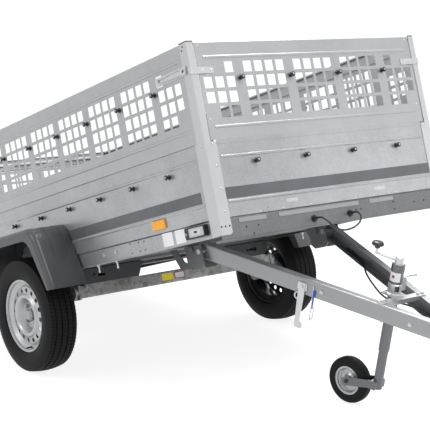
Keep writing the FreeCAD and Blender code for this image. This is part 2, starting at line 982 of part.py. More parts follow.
def wheel_hub():
    """Drum behind the disc with its grease cap, and the four wheel bolts, on the spindle."""
    bore = spindle_radius + running_fit
    cap_end = disc_offset + hub_cap_reach
    profile = [(bore, disc_offset - hub_drum_length), (hub_drum_radius, disc_offset - hub_drum_length),
               (hub_drum_radius, disc_offset), (centre_bore - clear, disc_offset),
               (centre_bore - clear, disc_offset + rim_wall),
               (hub_cap_radius, disc_offset + rim_wall + bolt_length),
               (hub_cap_radius - hub_cap_wall, cap_end), (0, cap_end), (0, cap_end - hub_cap_wall),
               (bore, cap_end - hub_cap_wall)]
    bolts = []
    for i in range(wheel_bolts):
        turn = 2 * math.pi * (i + 1 / 2) / wheel_bolts
        foot = V(bolt_circle * math.cos(turn), disc_offset + rim_wall, bolt_circle * math.sin(turn))
        bolts.append(rod(foot, foot + Y_AXIS * bolt_length, bolt_radius))
    return [turned(profile)] + bolts


tyre_shares = ((0.14, 0.94), (0.42, 1.0), (0.68, 0.98), (0.86, 0.92), (0.96, 0.84), (1.0, 0.7))


def main_tyre():
    """Tyre ring on the bead seats, centred on its mid plane, with bulged sides and rounded shoulders."""
    tall = wheel_radius - rim_flange_radius
    wall = [(rim_flange_radius + up * tall, -out * tyre_half) for up, out in tyre_shares]
    side = inner_seat()[::-1] + wall
    return turned(side + [(radius, -y) for radius, y in side[::-1]])


# Knee brackets, lamps, hooks and latches on the bed

bracket_outer = knee_half_width + bracket_outward
bracket_inner = bracket_outer - bracket_gap
bracket_foot = knee_height - bracket_drop


def knee_bracket():
    """Left pair of plates under the knee member, with their brace, spacer bolt and pin holes."""
    back = knee_forward - bracket_back
    front = knee_forward + bracket_front
    points = [(back, z_frame), (back + bracket_corner, bracket_foot + bracket_toe),
              (back + bracket_heel, bracket_foot), (front - bracket_toe, bracket_foot),
              (front, bracket_foot + bracket_toe), (front, z_frame)]
    radii = [0, bracket_corner, bracket_corner, bracket_corner, bracket_corner, 0]
    plates = [prism(points, "y", face - bracket_wall, face, radii)
              for face in (bracket_outer, bracket_inner)]
    high = knee_forward - strut_top
    low = bracket_foot + strut_foot / 2
    brace = prism([(high, z_frame), (high + strut_width, z_frame), (back - strut_foot, low + 2 * strut_foot),
                   (back + bracket_heel, low + strut_foot), (back + bracket_heel, low),
                   (high + strut_slant + strut_foot, low)],
                  "y", bracket_outer - bracket_wall, bracket_outer, [0, 0, strut_foot, 0, 0, strut_foot])
    crown = block(knee_member_front - rail_flange, knee_member_front, bracket_inner - bracket_wall,
                  bracket_outer, z_frame - bracket_wall, z_frame)
    spacer_x = knee_forward - spacer_back
    spacer_z = knee_height + spacer_rise
    low = V(spacer_x, bracket_inner - bracket_wall, spacer_z)
    high = V(spacer_x, bracket_outer, spacer_z)
    spacer = [rod(low, high, spacer_radius), rod(high, high + Y_AXIS * pin_head, spacer_head_radius),
              rod(low - Y_AXIS * pin_head, low, spacer_head_radius)]
    hole = rod(V(knee_forward, bracket_inner - overrun - bracket_wall, knee_height),
               V(knee_forward, bracket_outer + overrun, knee_height), knee_pin_radius + running_fit)
    return fuse(plates + [brace, crown] + spacer).cut(hole)


def marker_lamp():
    """Left front marker lamp: housing on the rail, with the lens a separate solid on it."""
    front = x_front - marker_from_front + marker_length
    back = x_front - marker_from_front
    low = z_frame + marker_rise
    high = low + marker_height
    housing = prism(rect(back, front, low, high), "y", plate_face, plate_face + marker_depth, marker_corner)
    lens = prism(rect(front - lens_margin - lens_length, front - lens_margin, low + lens_margin,
                      high - lens_margin), "y", plate_face + marker_depth,
                 plate_face + marker_depth + lens_depth, marker_corner - lens_margin / 2)
    return housing, lens


def side_reflector():
    """Left amber reflector on the side board."""
    back = x_front - reflector_from_front
    low = z_floor + reflector_rise
    return prism(rect(back, back + reflector_length, low, low + reflector_height),
                 "y", skin, skin + reflector_depth, reflector_corner)


def tail_lamp():
    """Left tail lamp on the rear face of the tail bar."""
    outer = tail_length / 2
    middle = (z_tail + z_frame) / 2
    return prism(rect(outer - tail_lamp_inset - tail_lamp_width, outer - tail_lamp_inset,
                      middle - tail_lamp_height / 2, middle + tail_lamp_height / 2),
                 "x", x_rear - tail_lamp_depth, x_rear, tail_lamp_corner)


def rope_hook():
    """Rope button: round base, slim neck and wide head, out along plus Y."""
    head_foot = hook_reach - hook_head
    return turned([(0, 0), (hook_base_radius, 0), (hook_base_radius, hook_base - hook_slope),
                   (hook_neck_radius, hook_base), (hook_neck_radius, head_foot),
                   (hook_head_radius, head_foot + hook_slope), (hook_head_radius, hook_reach - hook_slope),
                   (hook_neck_radius, hook_reach), (0, hook_reach)])


def side_hooks():
    """Two rows of hooks on the left side."""
    hook = rope_hook()
    rows = (z_top - hook_drop, z_mid - lower_hook_drop)
    return [facing(hook, 0, V(x, skin, z)) for x in side_bars() for z in rows]


def end_hooks(z):
    """One row of hooks on the front."""
    hook = rope_hook()
    return [facing(hook, to_front, V(x_skin_front, y, z)) for y in end_bars()]


def side_latch():
    """Left over centre latch: folded base on the mesh side, hollow toggle lever and its claw."""
    front = x_front - side_latch_inset
    back = front - side_latch_length
    middle = z_top - side_latch_drop
    face = half + clear
    base = prism(rect(back, x_front - upper_post_side_leg - clear, middle - side_latch_height / 2,
                      middle + side_latch_height / 2), "y", skin, face, side_latch_wall)
    toggle = prism([(back + toggle_width, middle - toggle_width / 3), (front, middle - toggle_width / 2),
                    (front, middle + toggle_width / 2), (back + toggle_width, middle + toggle_width / 3)],
                   "y", face, face + toggle_depth, side_latch_wall)
    hollow = prism([(back + toggle_width + toggle_wall, middle - toggle_width / 3 + toggle_wall),
                    (front - claw_length, middle - toggle_width / 2 + toggle_wall),
                    (front - claw_length, middle + toggle_width / 2 - toggle_wall),
                    (back + toggle_width + toggle_wall, middle + toggle_width / 3 - toggle_wall)],
                   "y", face + toggle_wall, face + toggle_depth + overrun)
    claw = prism(rect(front - claw_length, front, middle - side_latch_height / 2,
                      middle + side_latch_height / 2), "y", face, face + toggle_depth / 2, side_latch_wall)
    eye = rod(V(front - claw_length / 2, face, middle),
              V(front - claw_length / 2, face + 2 * toggle_depth, middle), toggle_width / 4)
    return fuse([base, toggle.cut(hollow), claw]).cut(eye)


def gate_strap():
    """Left strap on the front gate, stepped to reach over the corner post and hooked round its edge."""
    over = x_front + clear
    side = half + clear
    step = half - strap_step
    path = [(x_front - strap_hook, side), (over, side), (over, step), (x_skin_front, step - strap_slope),
            (x_skin_front, half - strap_reach)]
    middle = z_top - strap_drop
    return bent_prism(path, strap_wall, strap_bend, "z", middle - strap_width / 2, middle + strap_width / 2)


# Cable between two grommets of the front member; its points are forward of the box, across and up

loop_route = [(grommet_length, -155.0, 176.0), (44.0, -155.0, 176.0), (68.0, -150.0, 157.0),
              (78.0, -134.0, 131.0), (76.0, -102.0, 112.0), (70.0, -68.0, 106.0), (66.0, -32.0, 107.0),
              (68.0, 2.0, 114.0), (74.0, 30.0, 132.0), (67.0, 47.0, 159.0), (44.0, 51.0, 176.0),
              (grommet_length, 51.0, 176.0)]
run_share = 0.45


def bend_path(points):
    """Straight runs joined by tangent arcs, each as large as its two runs allow."""
    edges = []
    radii = []
    last = points[0]
    for before, corner, after in zip(points, points[1:], points[2:]):
        back = before - corner
        ahead = after - corner
        reach = run_share * min(back.Length, ahead.Length)
        turn = math.pi - back.getAngle(ahead)
        radius = reach / math.tan(turn / 2)
        radii.append(round(radius, 1))
        start = corner + back.normalize() * reach
        end = corner + ahead.normalize() * reach
        way = (back + ahead).normalize()
        middle = corner + way * (radius / math.cos(turn / 2) - radius)
        edges.append(Part.LineSegment(last, start).toShape())
        edges.append(Part.Arc(start, middle, end).toShape())
        last = end
    edges.append(Part.LineSegment(last, points[-1]).toShape())
    return Part.Wire(edges), radii


def cable(points, name):
    """Round cable along its route, with its radii, volume and length printed."""
    wire, radii = bend_path(points)
    first = points[1] - points[0]
    ring = Part.Wire(Part.makeCircle(cable_radius, points[0], first))
    tube = wire.makePipeShell([ring], True, False)
    expected = math.pi * cable_radius ** 2 * wire.Length
    print(name, "length", round(wire.Length, 1), "volume share", round(tube.Volume / expected, 4), "radii",
          radii)
    return tube


def grommet(y):
    """Rubber grommet in a hole of the front member, its mouth against the cable end."""
    back = V(x_skin_front - rail_wall, y, cable_hole_z)
    face = V(x_skin_front, y, cable_hole_z)
    mouth = V(x_front + grommet_length, y, cable_hole_z)
    flange = rod(face, face + X_AXIS * grommet_lip, cable_hole_radius + grommet_lip)
    return fuse([rod(back, face, cable_hole_radius), flange,
                 cone(face, mouth, cable_hole_radius, 2 * cable_radius)])


def cable_loop():
    """Service loop of the lighting cable in front of the front member."""
    return cable([V(x_front + x, y, z) for x, y, z in loop_route], "cable loop")


# Drawbar, drawn straight, origin at the knee pins

splay = math.radians(beam_splay_deg)
beam_top = beam_depth / 2
apex = (knee_half_width - coupling_half_width) / math.tan(splay)
ball_forward = apex + coupling_reach
head_back = apex - coupling_rear


def half_width(u):
    """Outer face of a beam, from the middle, at a distance forward of the knee."""
    return knee_half_width - u * math.tan(splay)


def drawbar_beam():
    """Left beam: folded C section open inward, from its rounded end at the knee to the coupling."""
    length = (apex + 2 * beam_depth) / math.cos(splay)
    beam = bent_prism(c_section(0, -beam_top, beam_top, beam_flange), beam_wall, frame_bend, "x", 0, length)
    beam.rotate(ORIGIN, Z_AXIS, -beam_splay_deg)
    beam.translate(V(-beam_depth, half_width(-beam_depth), 0))
    behind = block(-box_width, 0, -half, box_width, -beam_depth, beam_depth)
    rounded_end = rod(ORIGIN, V(0, box_width, 0), beam_top)
    nose = block(apex, apex + half, -half, half, -half, half)
    centre = block(-half, apex + half, -half, 0, -half, half)
    pin = rod(ORIGIN, V(0, box_width, 0), knee_pin_radius)
    return beam.cut(behind.cut(rounded_end)).cut(nose).cut(centre).cut(pin)


def knee_pin():
    """Left knee bolt through both plates and the beam."""
    outer = bracket_outer
    inner = bracket_inner - bracket_wall
    shank = rod(V(0, inner - pin_head, 0), V(0, outer + pin_head, 0), knee_pin_radius)
    head = rod(V(0, outer + clear, 0), V(0, outer + pin_head, 0), pin_head_radius)
    nut = rod(V(0, inner - pin_head, 0), V(0, inner - clear, 0), pin_head_radius)
    return fuse([shank, head, nut])


def jack_plate():
    """Folded plate across the beam tops that carries the jack clamp."""
    corners = [(u, half_width(u) - beam_margin) for u in (plate_back, plate_front)]
    points = corners + [(u, -y) for u, y in corners[::-1]]
    foot = rect(jack_forward - plate_foot, plate_front - plate_wall, -plate_foot, plate_foot)
    pieces = [prism(points, "z", beam_top, beam_top + plate_wall, beam_margin),
              prism(foot, "z", beam_top, beam_top + plate_wall, beam_margin)]
    reach = half_width(plate_front) - (beam_flange + beam_margin) / math.cos(splay)
    pieces.append(block(plate_front - plate_wall, plate_front, -reach, reach, beam_top - plate_flange,
                        beam_top + plate_wall / 2))
    hole = rod(V(jack_forward, 0, 0), V(jack_forward, 0, half), jack_tube_radius + clear)
    return fuse(pieces).cut(hole)


def faceted(radius):
    """Corners of the many sided section of the jack tubes about the jack's line."""
    turns = [2 * math.pi * (i + 1 / 2) / jack_sides for i in range(jack_sides)]
    return [(jack_forward + radius * math.cos(turn), radius * math.sin(turn)) for turn in turns]


jack_flat = math.cos(math.pi / jack_sides)
knob_shares = ((0, 0), (0.44, 0), (0.4, 0.3), (0.86, 0.36), (1.0, 0.5), (0.97, 0.68), (0.8, 0.87),
               (0.48, 0.98), (0, 1.0))
jack_tube_reach = jack_tube_radius - jack_tube_corner * (1 / jack_flat - 1)
jack_foot = V(jack_forward, 0, beam_top + plate_wall)
clamp_top = jack_foot + Z_AXIS * clamp_height


def jack_clamp():
    """Cast clamp on the plate round the jack tube, split at its lugs, with its tightening lever."""
    bore = jack_tube_reach + clear
    body = turned([(bore, 0), (clamp_foot_radius, 0), (clamp_foot_radius, clamp_foot / 2),
                   (clamp_neck_radius, clamp_foot), (clamp_radius, 2 * clamp_foot),
                   (clamp_radius, clamp_height - clamp_gap), (clamp_radius - clamp_gap, clamp_height),
                   (bore, clamp_height)])
    body = upright(body, ORIGIN)
    body.rotate(ORIGIN, Z_AXIS, 180)
    lug = prism(rect(bore, clamp_radius + lug_reach, 2 * clamp_foot, lug_height), "y", -lug_width / 2,
                lug_width / 2, [0, lug_reach / 2, lug_reach / 2, 0])
    lug = lug.cut(rod(ORIGIN, Z_AXIS * lug_height, jack_sleeve_radius + clear))
    lug = lug.cut(rod(ORIGIN, Z_AXIS * clamp_height, bore))
    slot = block(bore - overrun, clamp_radius + lug_reach + overrun, -clamp_slot / 2, clamp_slot / 2,
                 clamp_foot, lug_height + overrun)
    shank = V(clamp_radius + lug_reach / 2, -lug_width / 2, lug_height - clamp_foot)
    bolt = rod(shank, shank + Y_AXIS * (lug_width + pin_head), lever_radius)
    start = shank + Y_AXIS * (lug_width + pin_head)
    way = (X_AXIS * lever_length + Z_AXIS * lever_rise).normalize()
    grip = start + way * (lever_length - lever_grip_length)
    arm = rod(start, grip, lever_radius)
    handle = cone(grip, grip + way * lever_grip_length, lever_radius, lever_grip_radius)
    clamp = fuse([fuse([body, lug]).cut(slot), bolt, Part.makeSphere(lever_radius, start), arm, handle])
    clamp.rotate(ORIGIN, Z_AXIS, clamp_lever_deg)
    window = block(bore - overrun, clamp_foot_radius, -window_width / 2, window_width / 2,
                   clamp_foot + window_margin, clamp_height - window_margin)
    window.rotate(ORIGIN, Z_AXIS, window_deg)
    clamp = clamp.cut(window)
    clamp.translate(jack_foot)
    return clamp


def jack_tube():
    """Outer tube of the jack with its label sleeve, collar and capped top."""
    top = V(jack_forward, 0, jack_tube_top)
    collar_low = top - Z_AXIS * jack_collar_height
    tube = prism(faceted(jack_tube_radius), "z", jack_tube_bottom, jack_tube_top, jack_tube_corner)
    sleeve = rod(clamp_top + Z_AXIS * clamp_gap, top, jack_sleeve_radius)
    collar = rod(collar_low, top, jack_collar_radius)
    bore = rod(V(jack_forward, 0, jack_tube_bottom), top - Z_AXIS * jack_tube_wall,
               jack_tube_radius - jack_tube_wall)
    return fuse([tube, sleeve, collar]).cut(bore)


def crank_parts():
    """Gear head on its seat with the bent crank arm, and the knob on its stem."""
    top = V(jack_forward, 0, jack_tube_top)
    seat = rod(top, top + Z_AXIS * gear_seat, gear_seat_radius)
    head = rod(top + Z_AXIS * gear_seat, top + Z_AXIS * gear_height, gear_radius)
    head = round_edges(head, gear_seat, lambda edge: edge.BoundBox.ZMin > top.z + gear_height - least_turn)
    turn = math.radians(crank_deg)
    way = V(math.cos(turn), math.sin(turn), 0)
    start = top + Z_AXIS * (gear_height / 2) + way * (gear_radius / 2)
    end = start + way * crank_length + Z_AXIS * crank_rise
    knob_foot = end + Z_AXIS * knob_stem
    crank = fuse([seat, head, rod(start, end, crank_radius), Part.makeSphere(crank_radius + clear, end),
                  rod(end, knob_foot, crank_radius - clear)])
    knob = turned([(radius * knob_radius, share * knob_height) for radius, share in knob_shares])
    return crank, upright(knob, knob_foot)


# Coupling

def coupling_head():
    """Pressed ball coupling: tapered body on the beam ends, and a dome with its ball socket below."""
    top = beam_top + head_rise
    plan = prism([(head_back, -head_half), (ball_forward - dome_radius, -head_half + head_edge),
                  (ball_forward, -head_half), (ball_forward, head_half),
                  (ball_forward - dome_radius, head_half - head_edge), (head_back, head_half)],
                 "z", beam_top, top + head_edge, [head_edge, 0, 0, 0, 0, head_edge])
    side = prism([(head_back, beam_top), (ball_forward, beam_top), (ball_forward, top + head_edge),
                  (ball_forward - dome_radius, top), (head_back + head_nose, top),
                  (head_back, top - head_edge * 2)], "y", -head_half, head_half,
                 [0, 0, 0, dome_radius, head_nose, head_edge])
    dome_low = V(ball_forward, 0, beam_top + head_low)
    dome = rod(dome_low, V(ball_forward, 0, top), dome_radius)
    crown = Part.makeSphere(dome_radius, V(ball_forward, 0, top - dome_radius / 2))
    crown = crown.common(rod(dome_low, V(ball_forward, 0, top + dome_radius), dome_radius))
    socket = rod(dome_low - Z_AXIS * overrun, dome_low + Z_AXIS * socket_depth, ball_radius)
    return fuse([plan.common(side), dome, crown]).cut(socket)


def coupling_handle():
    """Bent release handle on top of the coupling."""
    low = beam_top + head_rise
    front = ball_forward - dome_radius - head_edge
    path = [(head_back - handle_overhang, low + handle_rise),
            (head_back + handle_rise, low + handle_rise - handle_bend),
            (head_back + head_nose + handle_rise, low), (front, low)]
    return bent_prism(path, handle_wall, handle_bend, "y", -handle_width / 2, handle_width / 2)


# Tilt latch on the right beam, hanging open

def on_beam(shape, u):
    """Carry a piece drawn on the XZ plane, out along minus Y, to the right beam's outer face."""
    moved = shape.copy()
    moved.rotate(ORIGIN, Z_AXIS, beam_splay_deg)
    moved.translate(V(u, -half_width(u), 0))
    return moved


def tilt_latch():
    """Hinge plate, hanging hooked lever, and the eye bolt on its curved link."""
    plate = prism(rect(-latch_plate_length / 2, latch_plate_length / 2, -latch_plate_depth / 2,
                       latch_plate_depth / 2), "y", -latch_plate_wall, 0, lever_corner)
    front = -latch_plate_wall - lever_wall
    foot = -lever_drop
    lever = prism([(-lever_top_width / 2, 0), (-lever_foot_width / 2, foot + lever_hook),
                   (-lever_foot_width / 2, foot), (lever_foot_width / 2 + lever_hook, foot),
                   (lever_foot_width / 2 + lever_hook, foot + lever_hook),
                   (lever_foot_width / 2, foot + 2 * lever_hook), (lever_top_width / 2, 0),
                   (lever_top_width / 2, latch_plate_depth / 2),
                   (-lever_top_width / 2, latch_plate_depth / 2)], "y", front, -latch_plate_wall,
                  [lever_corner, 0, lever_corner, lever_corner / 2, lever_corner / 2, lever_corner, 0,
                   lever_corner, lever_corner])
    pivot = rod(V(0, front - lever_wall, 0), V(0, 0, 0), lever_corner)
    wire = -eye_wire - clear
    middle = V(-eye_back, wire, -eye_drop)
    ring = Part.makeTorus(eye_radius, eye_wire, middle, Y_AXIS)
    shank = rod(middle + V(eye_radius / 2, 0, eye_radius), V(-lever_top_width / 4, wire, -lever_top_width),
                eye_wire)
    return on_beam(fuse([plate, lever, pivot, ring, shank]), latch_forward)


def latch_clip():
    """Wire clip hanging from the beam on its short lanyard."""
    depth = -2 * clip_wire
    top = V(0, -clip_wire, latch_plate_depth / 2)
    knot = V(clip_width / 4, depth, top.z - clip_drop / 2)
    foot = V(clip_width / 4, depth, top.z - clip_drop)
    bow = V(clip_width, depth, top.z - clip_drop + clip_width)
    back = V(clip_width, depth, top.z - clip_drop / 2 - clip_width)
    waist = V(clip_width / 2, depth, top.z - clip_drop / 2 - clip_width / 2)
    route = [top, knot, foot, bow, back, waist]
    bars = [rod(start, end, clip_wire) for start, end in zip(route, route[1:])]
    joints = [Part.makeSphere(clip_wire, point) for point in route[1:-1]]
    return on_beam(fuse(bars + joints), latch_forward + clip_ahead)


# Lighting cable along the left beam; its points are forward, inward of the web and up

def beside_web(u, gap, h):
    """A point of the left beam, a distance inward of its web's inner face, at a height."""
    return V(u - (beam_wall + gap) * math.sin(splay), half_width(u) - (beam_wall + gap) * math.cos(splay), h)


cable_low = -beam_top + beam_wall + cable_radius + clear
cable_gap = cable_radius + clear
plug_height = -beam_top + beam_wall + plug_radius + clear
plug_gap = plug_radius + clear
drawbar_route = [(162.0, cable_gap, cable_low), (222.0, cable_gap, cable_low + 2.0),
                 (280.0, cable_gap + 1.0, cable_low + 1.0), (328.0, 12.0, cable_low + 4.0),
                 (368.0, 28.0, cable_low + 6.0), (404.0, 44.0, cable_low + 2.0),
                 (437.0, 54.0, cable_low - 5.0), (477.0, 58.0, cable_low - 15.0),
                 (520.0, 58.0, cable_low - 26.0), (565.0, 60.0, cable_low - 33.0),
                 (612.0, 62.0, cable_low - 35.0), (662.0, 63.0, cable_low - 29.0),
                 (712.0, 61.0, cable_low - 17.0), (762.0, 56.0, cable_low - 2.0),
                 (815.0, 44.0, cable_low + 8.0), (867.0, 29.0, cable_low + 12.0),
                 (917.0, plug_gap, plug_height), (plug_forward, plug_gap, plug_height)]


def drawbar_cable():
    """Cable from its clip in the left beam, hanging to the jack plate, and on to the plug."""
    return cable([beside_web(u, gap, h) for u, gap, h in drawbar_route], "drawbar cable")


def plug():
    """Plug at the end of the cable, lying in the beam on its lower flange."""
    start = beside_web(plug_forward, plug_gap, plug_height)
    way = V(math.cos(splay), -math.sin(splay), 0)
    neck = start + way * plug_neck
    return fuse([cone(start, neck, plug_neck_radius / 2, plug_neck_radius),
                 rod(neck, start + way * plug_length, plug_radius)])


# Jack leg, fork and jockey wheel

leg_radius = jack_tube_radius - jack_tube_wall - clear
fork_inner = jockey_width / 2 + fork_gap

slope = math.radians(bend_deg) - tip
swing = math.radians(jockey_swing_deg)
round_shares = ((0, 1.0), (0.5, 0.87), (0.87, 0.5), (1.0, 0))
knee_x = knee_forward * math.cos(tip) - knee_height * math.sin(tip)
knee_z = knee_forward * math.sin(tip) + knee_height * math.cos(tip) + wheel_radius
lean = math.asin(math.sin(slope) * math.sin(swing))
jockey_flat = jockey_width / 2 - jockey_edge_radius
jockey_low = jockey_radius * math.cos(lean) + jockey_flat * math.sin(abs(lean))
jockey_u = jack_forward - jockey_trail * math.cos(swing)
jockey_h = (jockey_low - knee_z + jockey_u * math.sin(slope)) / math.cos(slope)


def jack_leg():
    """Inner tube of the jack, with the swivel bore in its foot."""
    low = V(jack_forward, 0, leg_foot)
    plug_top = low + Z_AXIS * swivel_length
    tube = prism(faceted(leg_radius), "z", leg_foot, leg_top, jack_tube_corner)
    hollow = rod(plug_top, V(jack_forward, 0, leg_top), leg_radius * jack_flat - jack_tube_wall)
    bore = rod(low, plug_top, swivel_radius + running_fit)
    return tube.cut(hollow).cut(bore)


def jockey_fork():
    """Swivelling fork under the leg: foot of the leg's section, two side plates and the axle bolt."""
    crown_top = leg_foot - clear
    crown_low = crown_top - fork_crown
    reach = leg_radius
    foot = prism(faceted(leg_radius), "z", crown_low, crown_top, jack_tube_corner)
    foot.translate(V(-jack_forward, 0, 0))
    pivot = rod(V(0, 0, crown_top), V(0, 0, crown_top + swivel_length), swivel_radius)
    bridge = prism(rect(-reach, reach / 2, crown_low, crown_top), "y", -fork_inner - fork_wall,
                   fork_inner + fork_wall, fork_wall)
    pieces = [foot, pivot, bridge]
    eye = fork_height / 2
    for side in (-1, 1):
        y0 = side * fork_inner
        y1 = side * (fork_inner + fork_wall)
        plate = prism([(reach / 2, crown_low), (reach / 2, crown_top), (-reach, crown_top),
                       (-jockey_trail, jockey_h + eye), (-jockey_trail, jockey_h - eye),
                       (-reach, crown_low)], "y", min(y0, y1), max(y0, y1),
                      [fork_corner, fork_corner, jockey_trail / 2, 0, 0, jockey_trail / 2])
        axle_eye = rod(V(-jockey_trail, y0, jockey_h), V(-jockey_trail, y1, jockey_h), eye)
        nut = rod(V(-jockey_trail, y1, jockey_h), V(-jockey_trail, y1 + side * axle_nut, jockey_h),
                  axle_nut_radius)
        pieces += [plate, axle_eye, nut]
    bolt = rod(V(-jockey_trail, -fork_inner - fork_wall - 2 * axle_nut, jockey_h),
               V(-jockey_trail, fork_inner + fork_wall + 2 * axle_nut, jockey_h), jockey_axle_radius)
    return fuse(pieces + [bolt])


def jockey_rim():
    """Two pressed steel dishes joined at the hub, bored for the axle bolt."""
    wide = jockey_width / 2
    root = jockey_rim_radius - jockey_rim_step
    hub_end = wide + fork_gap / 2
    side = [(jockey_axle_radius + running_fit, hub_end), (jockey_hub_radius, hub_end),
            (jockey_hub_radius + rim_wall, 2 * rim_wall), (jockey_hub_radius + 3 * rim_wall, rim_wall),
            (root - 2 * rim_wall, rim_wall), (root, 3 * rim_wall), (root, wide - rim_wall),
            (jockey_rim_radius, wide - rim_wall / 2)]
    rim = turned(side + [(radius, -y) for radius, y in side[::-1]])
    rim.translate(V(-jockey_trail, 0, jockey_h))
    return rim


def jockey_tyre():
    """Solid rubber tyre with rounded edges."""
    edge = [(jockey_radius - jockey_edge_radius * (1 - up), jockey_flat + jockey_edge_radius * out)
            for up, out in round_shares]
    side = [(jockey_rim_radius, jockey_width / 2)] + edge
    tyre = turned(side + [(radius, -y) for radius, y in side[::-1]])
    tyre.translate(V(-jockey_trail, 0, jockey_h))
    return tyre


# Rest pose

def tip_bed(shape):
    """From the level bed to the tipped bed on its wheels."""
    moved = shape.copy()
    moved.rotate(ORIGIN, Y_AXIS, -tip_deg)
    moved.translate(V(0, 0, wheel_radius))
    return moved


def carry_drawbar(shape):
    """From the straight drawbar to the knee of the tipped bed."""
    moved = shape.copy()
    moved.rotate(ORIGIN, Y_AXIS, bend_deg - tip_deg)
    moved.translate(V(knee_x, 0, knee_z))
    return moved


def carry_fork(shape):
    """From the fork's own frame, wheel trailing, to its place under the jack."""
    moved = shape.copy()
    moved.rotate(ORIGIN, Z_AXIS, jockey_swing_deg)
    moved.translate(V(jack_forward, 0, 0))
    return carry_drawbar(moved)


def bed_parts():
    """Everything on the load bed, level."""
    bed = {}
    lower, upper, caps = posts()
    rail = frame_rail()
    sides = side_board()
    panel = side_mesh()
    guard = mudguard()
    bed["frame_rail_left"], bed["frame_rail_right"] = both(rail)
    bed["cross_members"] = group(cross_members())
    bed["tail_bar"] = tail_bar()
    bed["floor_panel"] = floor_panel()
    bed["side_board_left"], bed["side_board_right"] = both(sides)
    bed["front_board"] = end_board(x_skin_front, to_front, z_floor, end_half)
    bed["lower_posts"] = group(lower)
    bed["upper_posts"] = group(upper)
    bed["post_caps"] = group(caps)
    bed["side_mesh_left"], bed["side_mesh_right"] = both(panel)
    bed["side_latches"] = group(both(side_latch()))
    hooks = side_hooks()
    lower_row = end_hooks(z_mid - lower_hook_drop)
    bed["rope_hooks"] = group(hooks + [mirrored(hook) for hook in hooks] + lower_row)
    bed["mudguard_left"], bed["mudguard_right"] = both(guard)
    bed["axle_beam"] = axle_beam()
    bed["trailing_arms"] = group(trailing_arms())
    bed["knee_brackets"] = group(both(knee_bracket()))
    housing, lens = marker_lamp()
    bed["marker_lamps"] = group(both(housing))
    bed["marker_lenses"] = group(both(lens))
    bed["side_reflectors"] = group(both(side_reflector()))
    bed["tail_lamps"] = group(both(tail_lamp()))
    bed["cable_loop"] = cable_loop()
    bed["cable_grommets"] = group([grommet(cable_hole_y), grommet(cable_return_y)])

    front_panel = fuse([end_mesh(x_skin_front, to_front, front_gate_low, z_top)] + both(corner_barrel()))
    bores = Part.makeCompound(both(corner_pin(corner_pin_radius + running_fit)))
    bed["front_mesh"] = front_panel.cut(bores)
    bed["front_gate_straps"] = group(both(gate_strap()))
    bed["front_gate_hooks"] = group(end_hooks(z_top - hook_drop))

    hinge_x = x_rear - hinge_radius
    tail_bed, tail_gate = hinge(hinge_x, z_floor, x_skin_rear, z_floor - hinge_leaf, x_skin_rear,
                                z_floor + hinge_leaf)
    tail_low = z_floor + floor_sheet + gate_gap
    bed["tailgate_board"] = fuse([end_board(x_skin_rear, to_rear, tail_low, tailgate_half)] + tail_gate)

    header_low = z_top - header_depth
    high = header_low - gate_gap
    rear_bed, rear_gate = hinge(hinge_x, header_low, x_skin_rear, z_top, x_skin_rear, high - hinge_leaf)
    bed["rear_mesh"] = fuse([end_mesh(x_skin_rear, to_rear, z_mid + 2 * gate_gap, high)] + rear_gate)
    bed["rear_header"] = rear_header()
    bed["gate_hinges"] = group(both(collared_pin()) + tail_bed + rear_bed)
    return bed


def drawbar_parts():
    """Everything on the drawbar, straight, with the jack's leg."""
    drawbar = {}
    drawbar["drawbar_beam_left"], drawbar["drawbar_beam_right"] = both(drawbar_beam())
    drawbar["knee_pins"] = group(both(knee_pin()))
    drawbar["jack_plate"] = jack_plate()
    drawbar["jack_clamp"] = jack_clamp()
    drawbar["jack_tube"] = jack_tube()
    drawbar["jack_crank"], drawbar["crank_knob"] = crank_parts()
    drawbar["coupling_head"] = coupling_head()
    drawbar["coupling_handle"] = coupling_handle()
    drawbar["tilt_latch"] = tilt_latch()
    drawbar["latch_clip"] = latch_clip()
    drawbar["drawbar_cable"] = drawbar_cable()
    drawbar["cable_plug"] = plug()
    drawbar["jack_leg"] = jack_leg()
    return drawbar


def build():
    """Make every sub-part in its resting place."""
    for name, shape in bed_parts().items():
        add(name, tip_bed(shape))
    wheel_parts = {"rim": main_rim(), "tyre": main_tyre(), "hub": group(wheel_hub())}
    for name, shape in wheel_parts.items():
        shape.translate(V(0, wheel_mid, wheel_radius))
        add(f"wheel_{name}_left", shape)
        add(f"wheel_{name}_right", mirrored(shape))
    for name, shape in drawbar_parts().items():
        add(name, carry_drawbar(shape))
    for name, shape in (("jockey_fork", jockey_fork()), ("jockey_rim", jockey_rim()),
                        ("jockey_tyre", jockey_tyre())):
        add(name, carry_fork(shape))


build()
low_x = min(shape.BoundBox.XMin for shape in NODES.values())
high_x = max(shape.BoundBox.XMax for shape in NODES.values())
shift = V(-(low_x + high_x) / 2, 0, 0)
os.makedirs("parts", exist_ok=True)
for name, shape in NODES.items():
    shape.translate(shift)
    if not shape.isValid():
        print("not valid:", name)
    shape.exportStep(f"parts/{name}.step")

print("files", len(NODES), "length", round(high_x - low_x, 1))


def place(carry, x, y, z):
    """Where a point of one frame rests, in millimetres."""
    point = carry(Part.Vertex(V(x, y, z))).Point + shift
    return [round(value, 2) for value in point]


# The drawbar latches where its beams, swung up, come a gap under the front member

latch_run = x_skin_front - rail_flange - knee_forward
latch_rise = knee_height - (z_member - gate_gap)
latched = math.asin(beam_top / math.hypot(latch_run, latch_rise)) + math.atan2(latch_rise, latch_run)

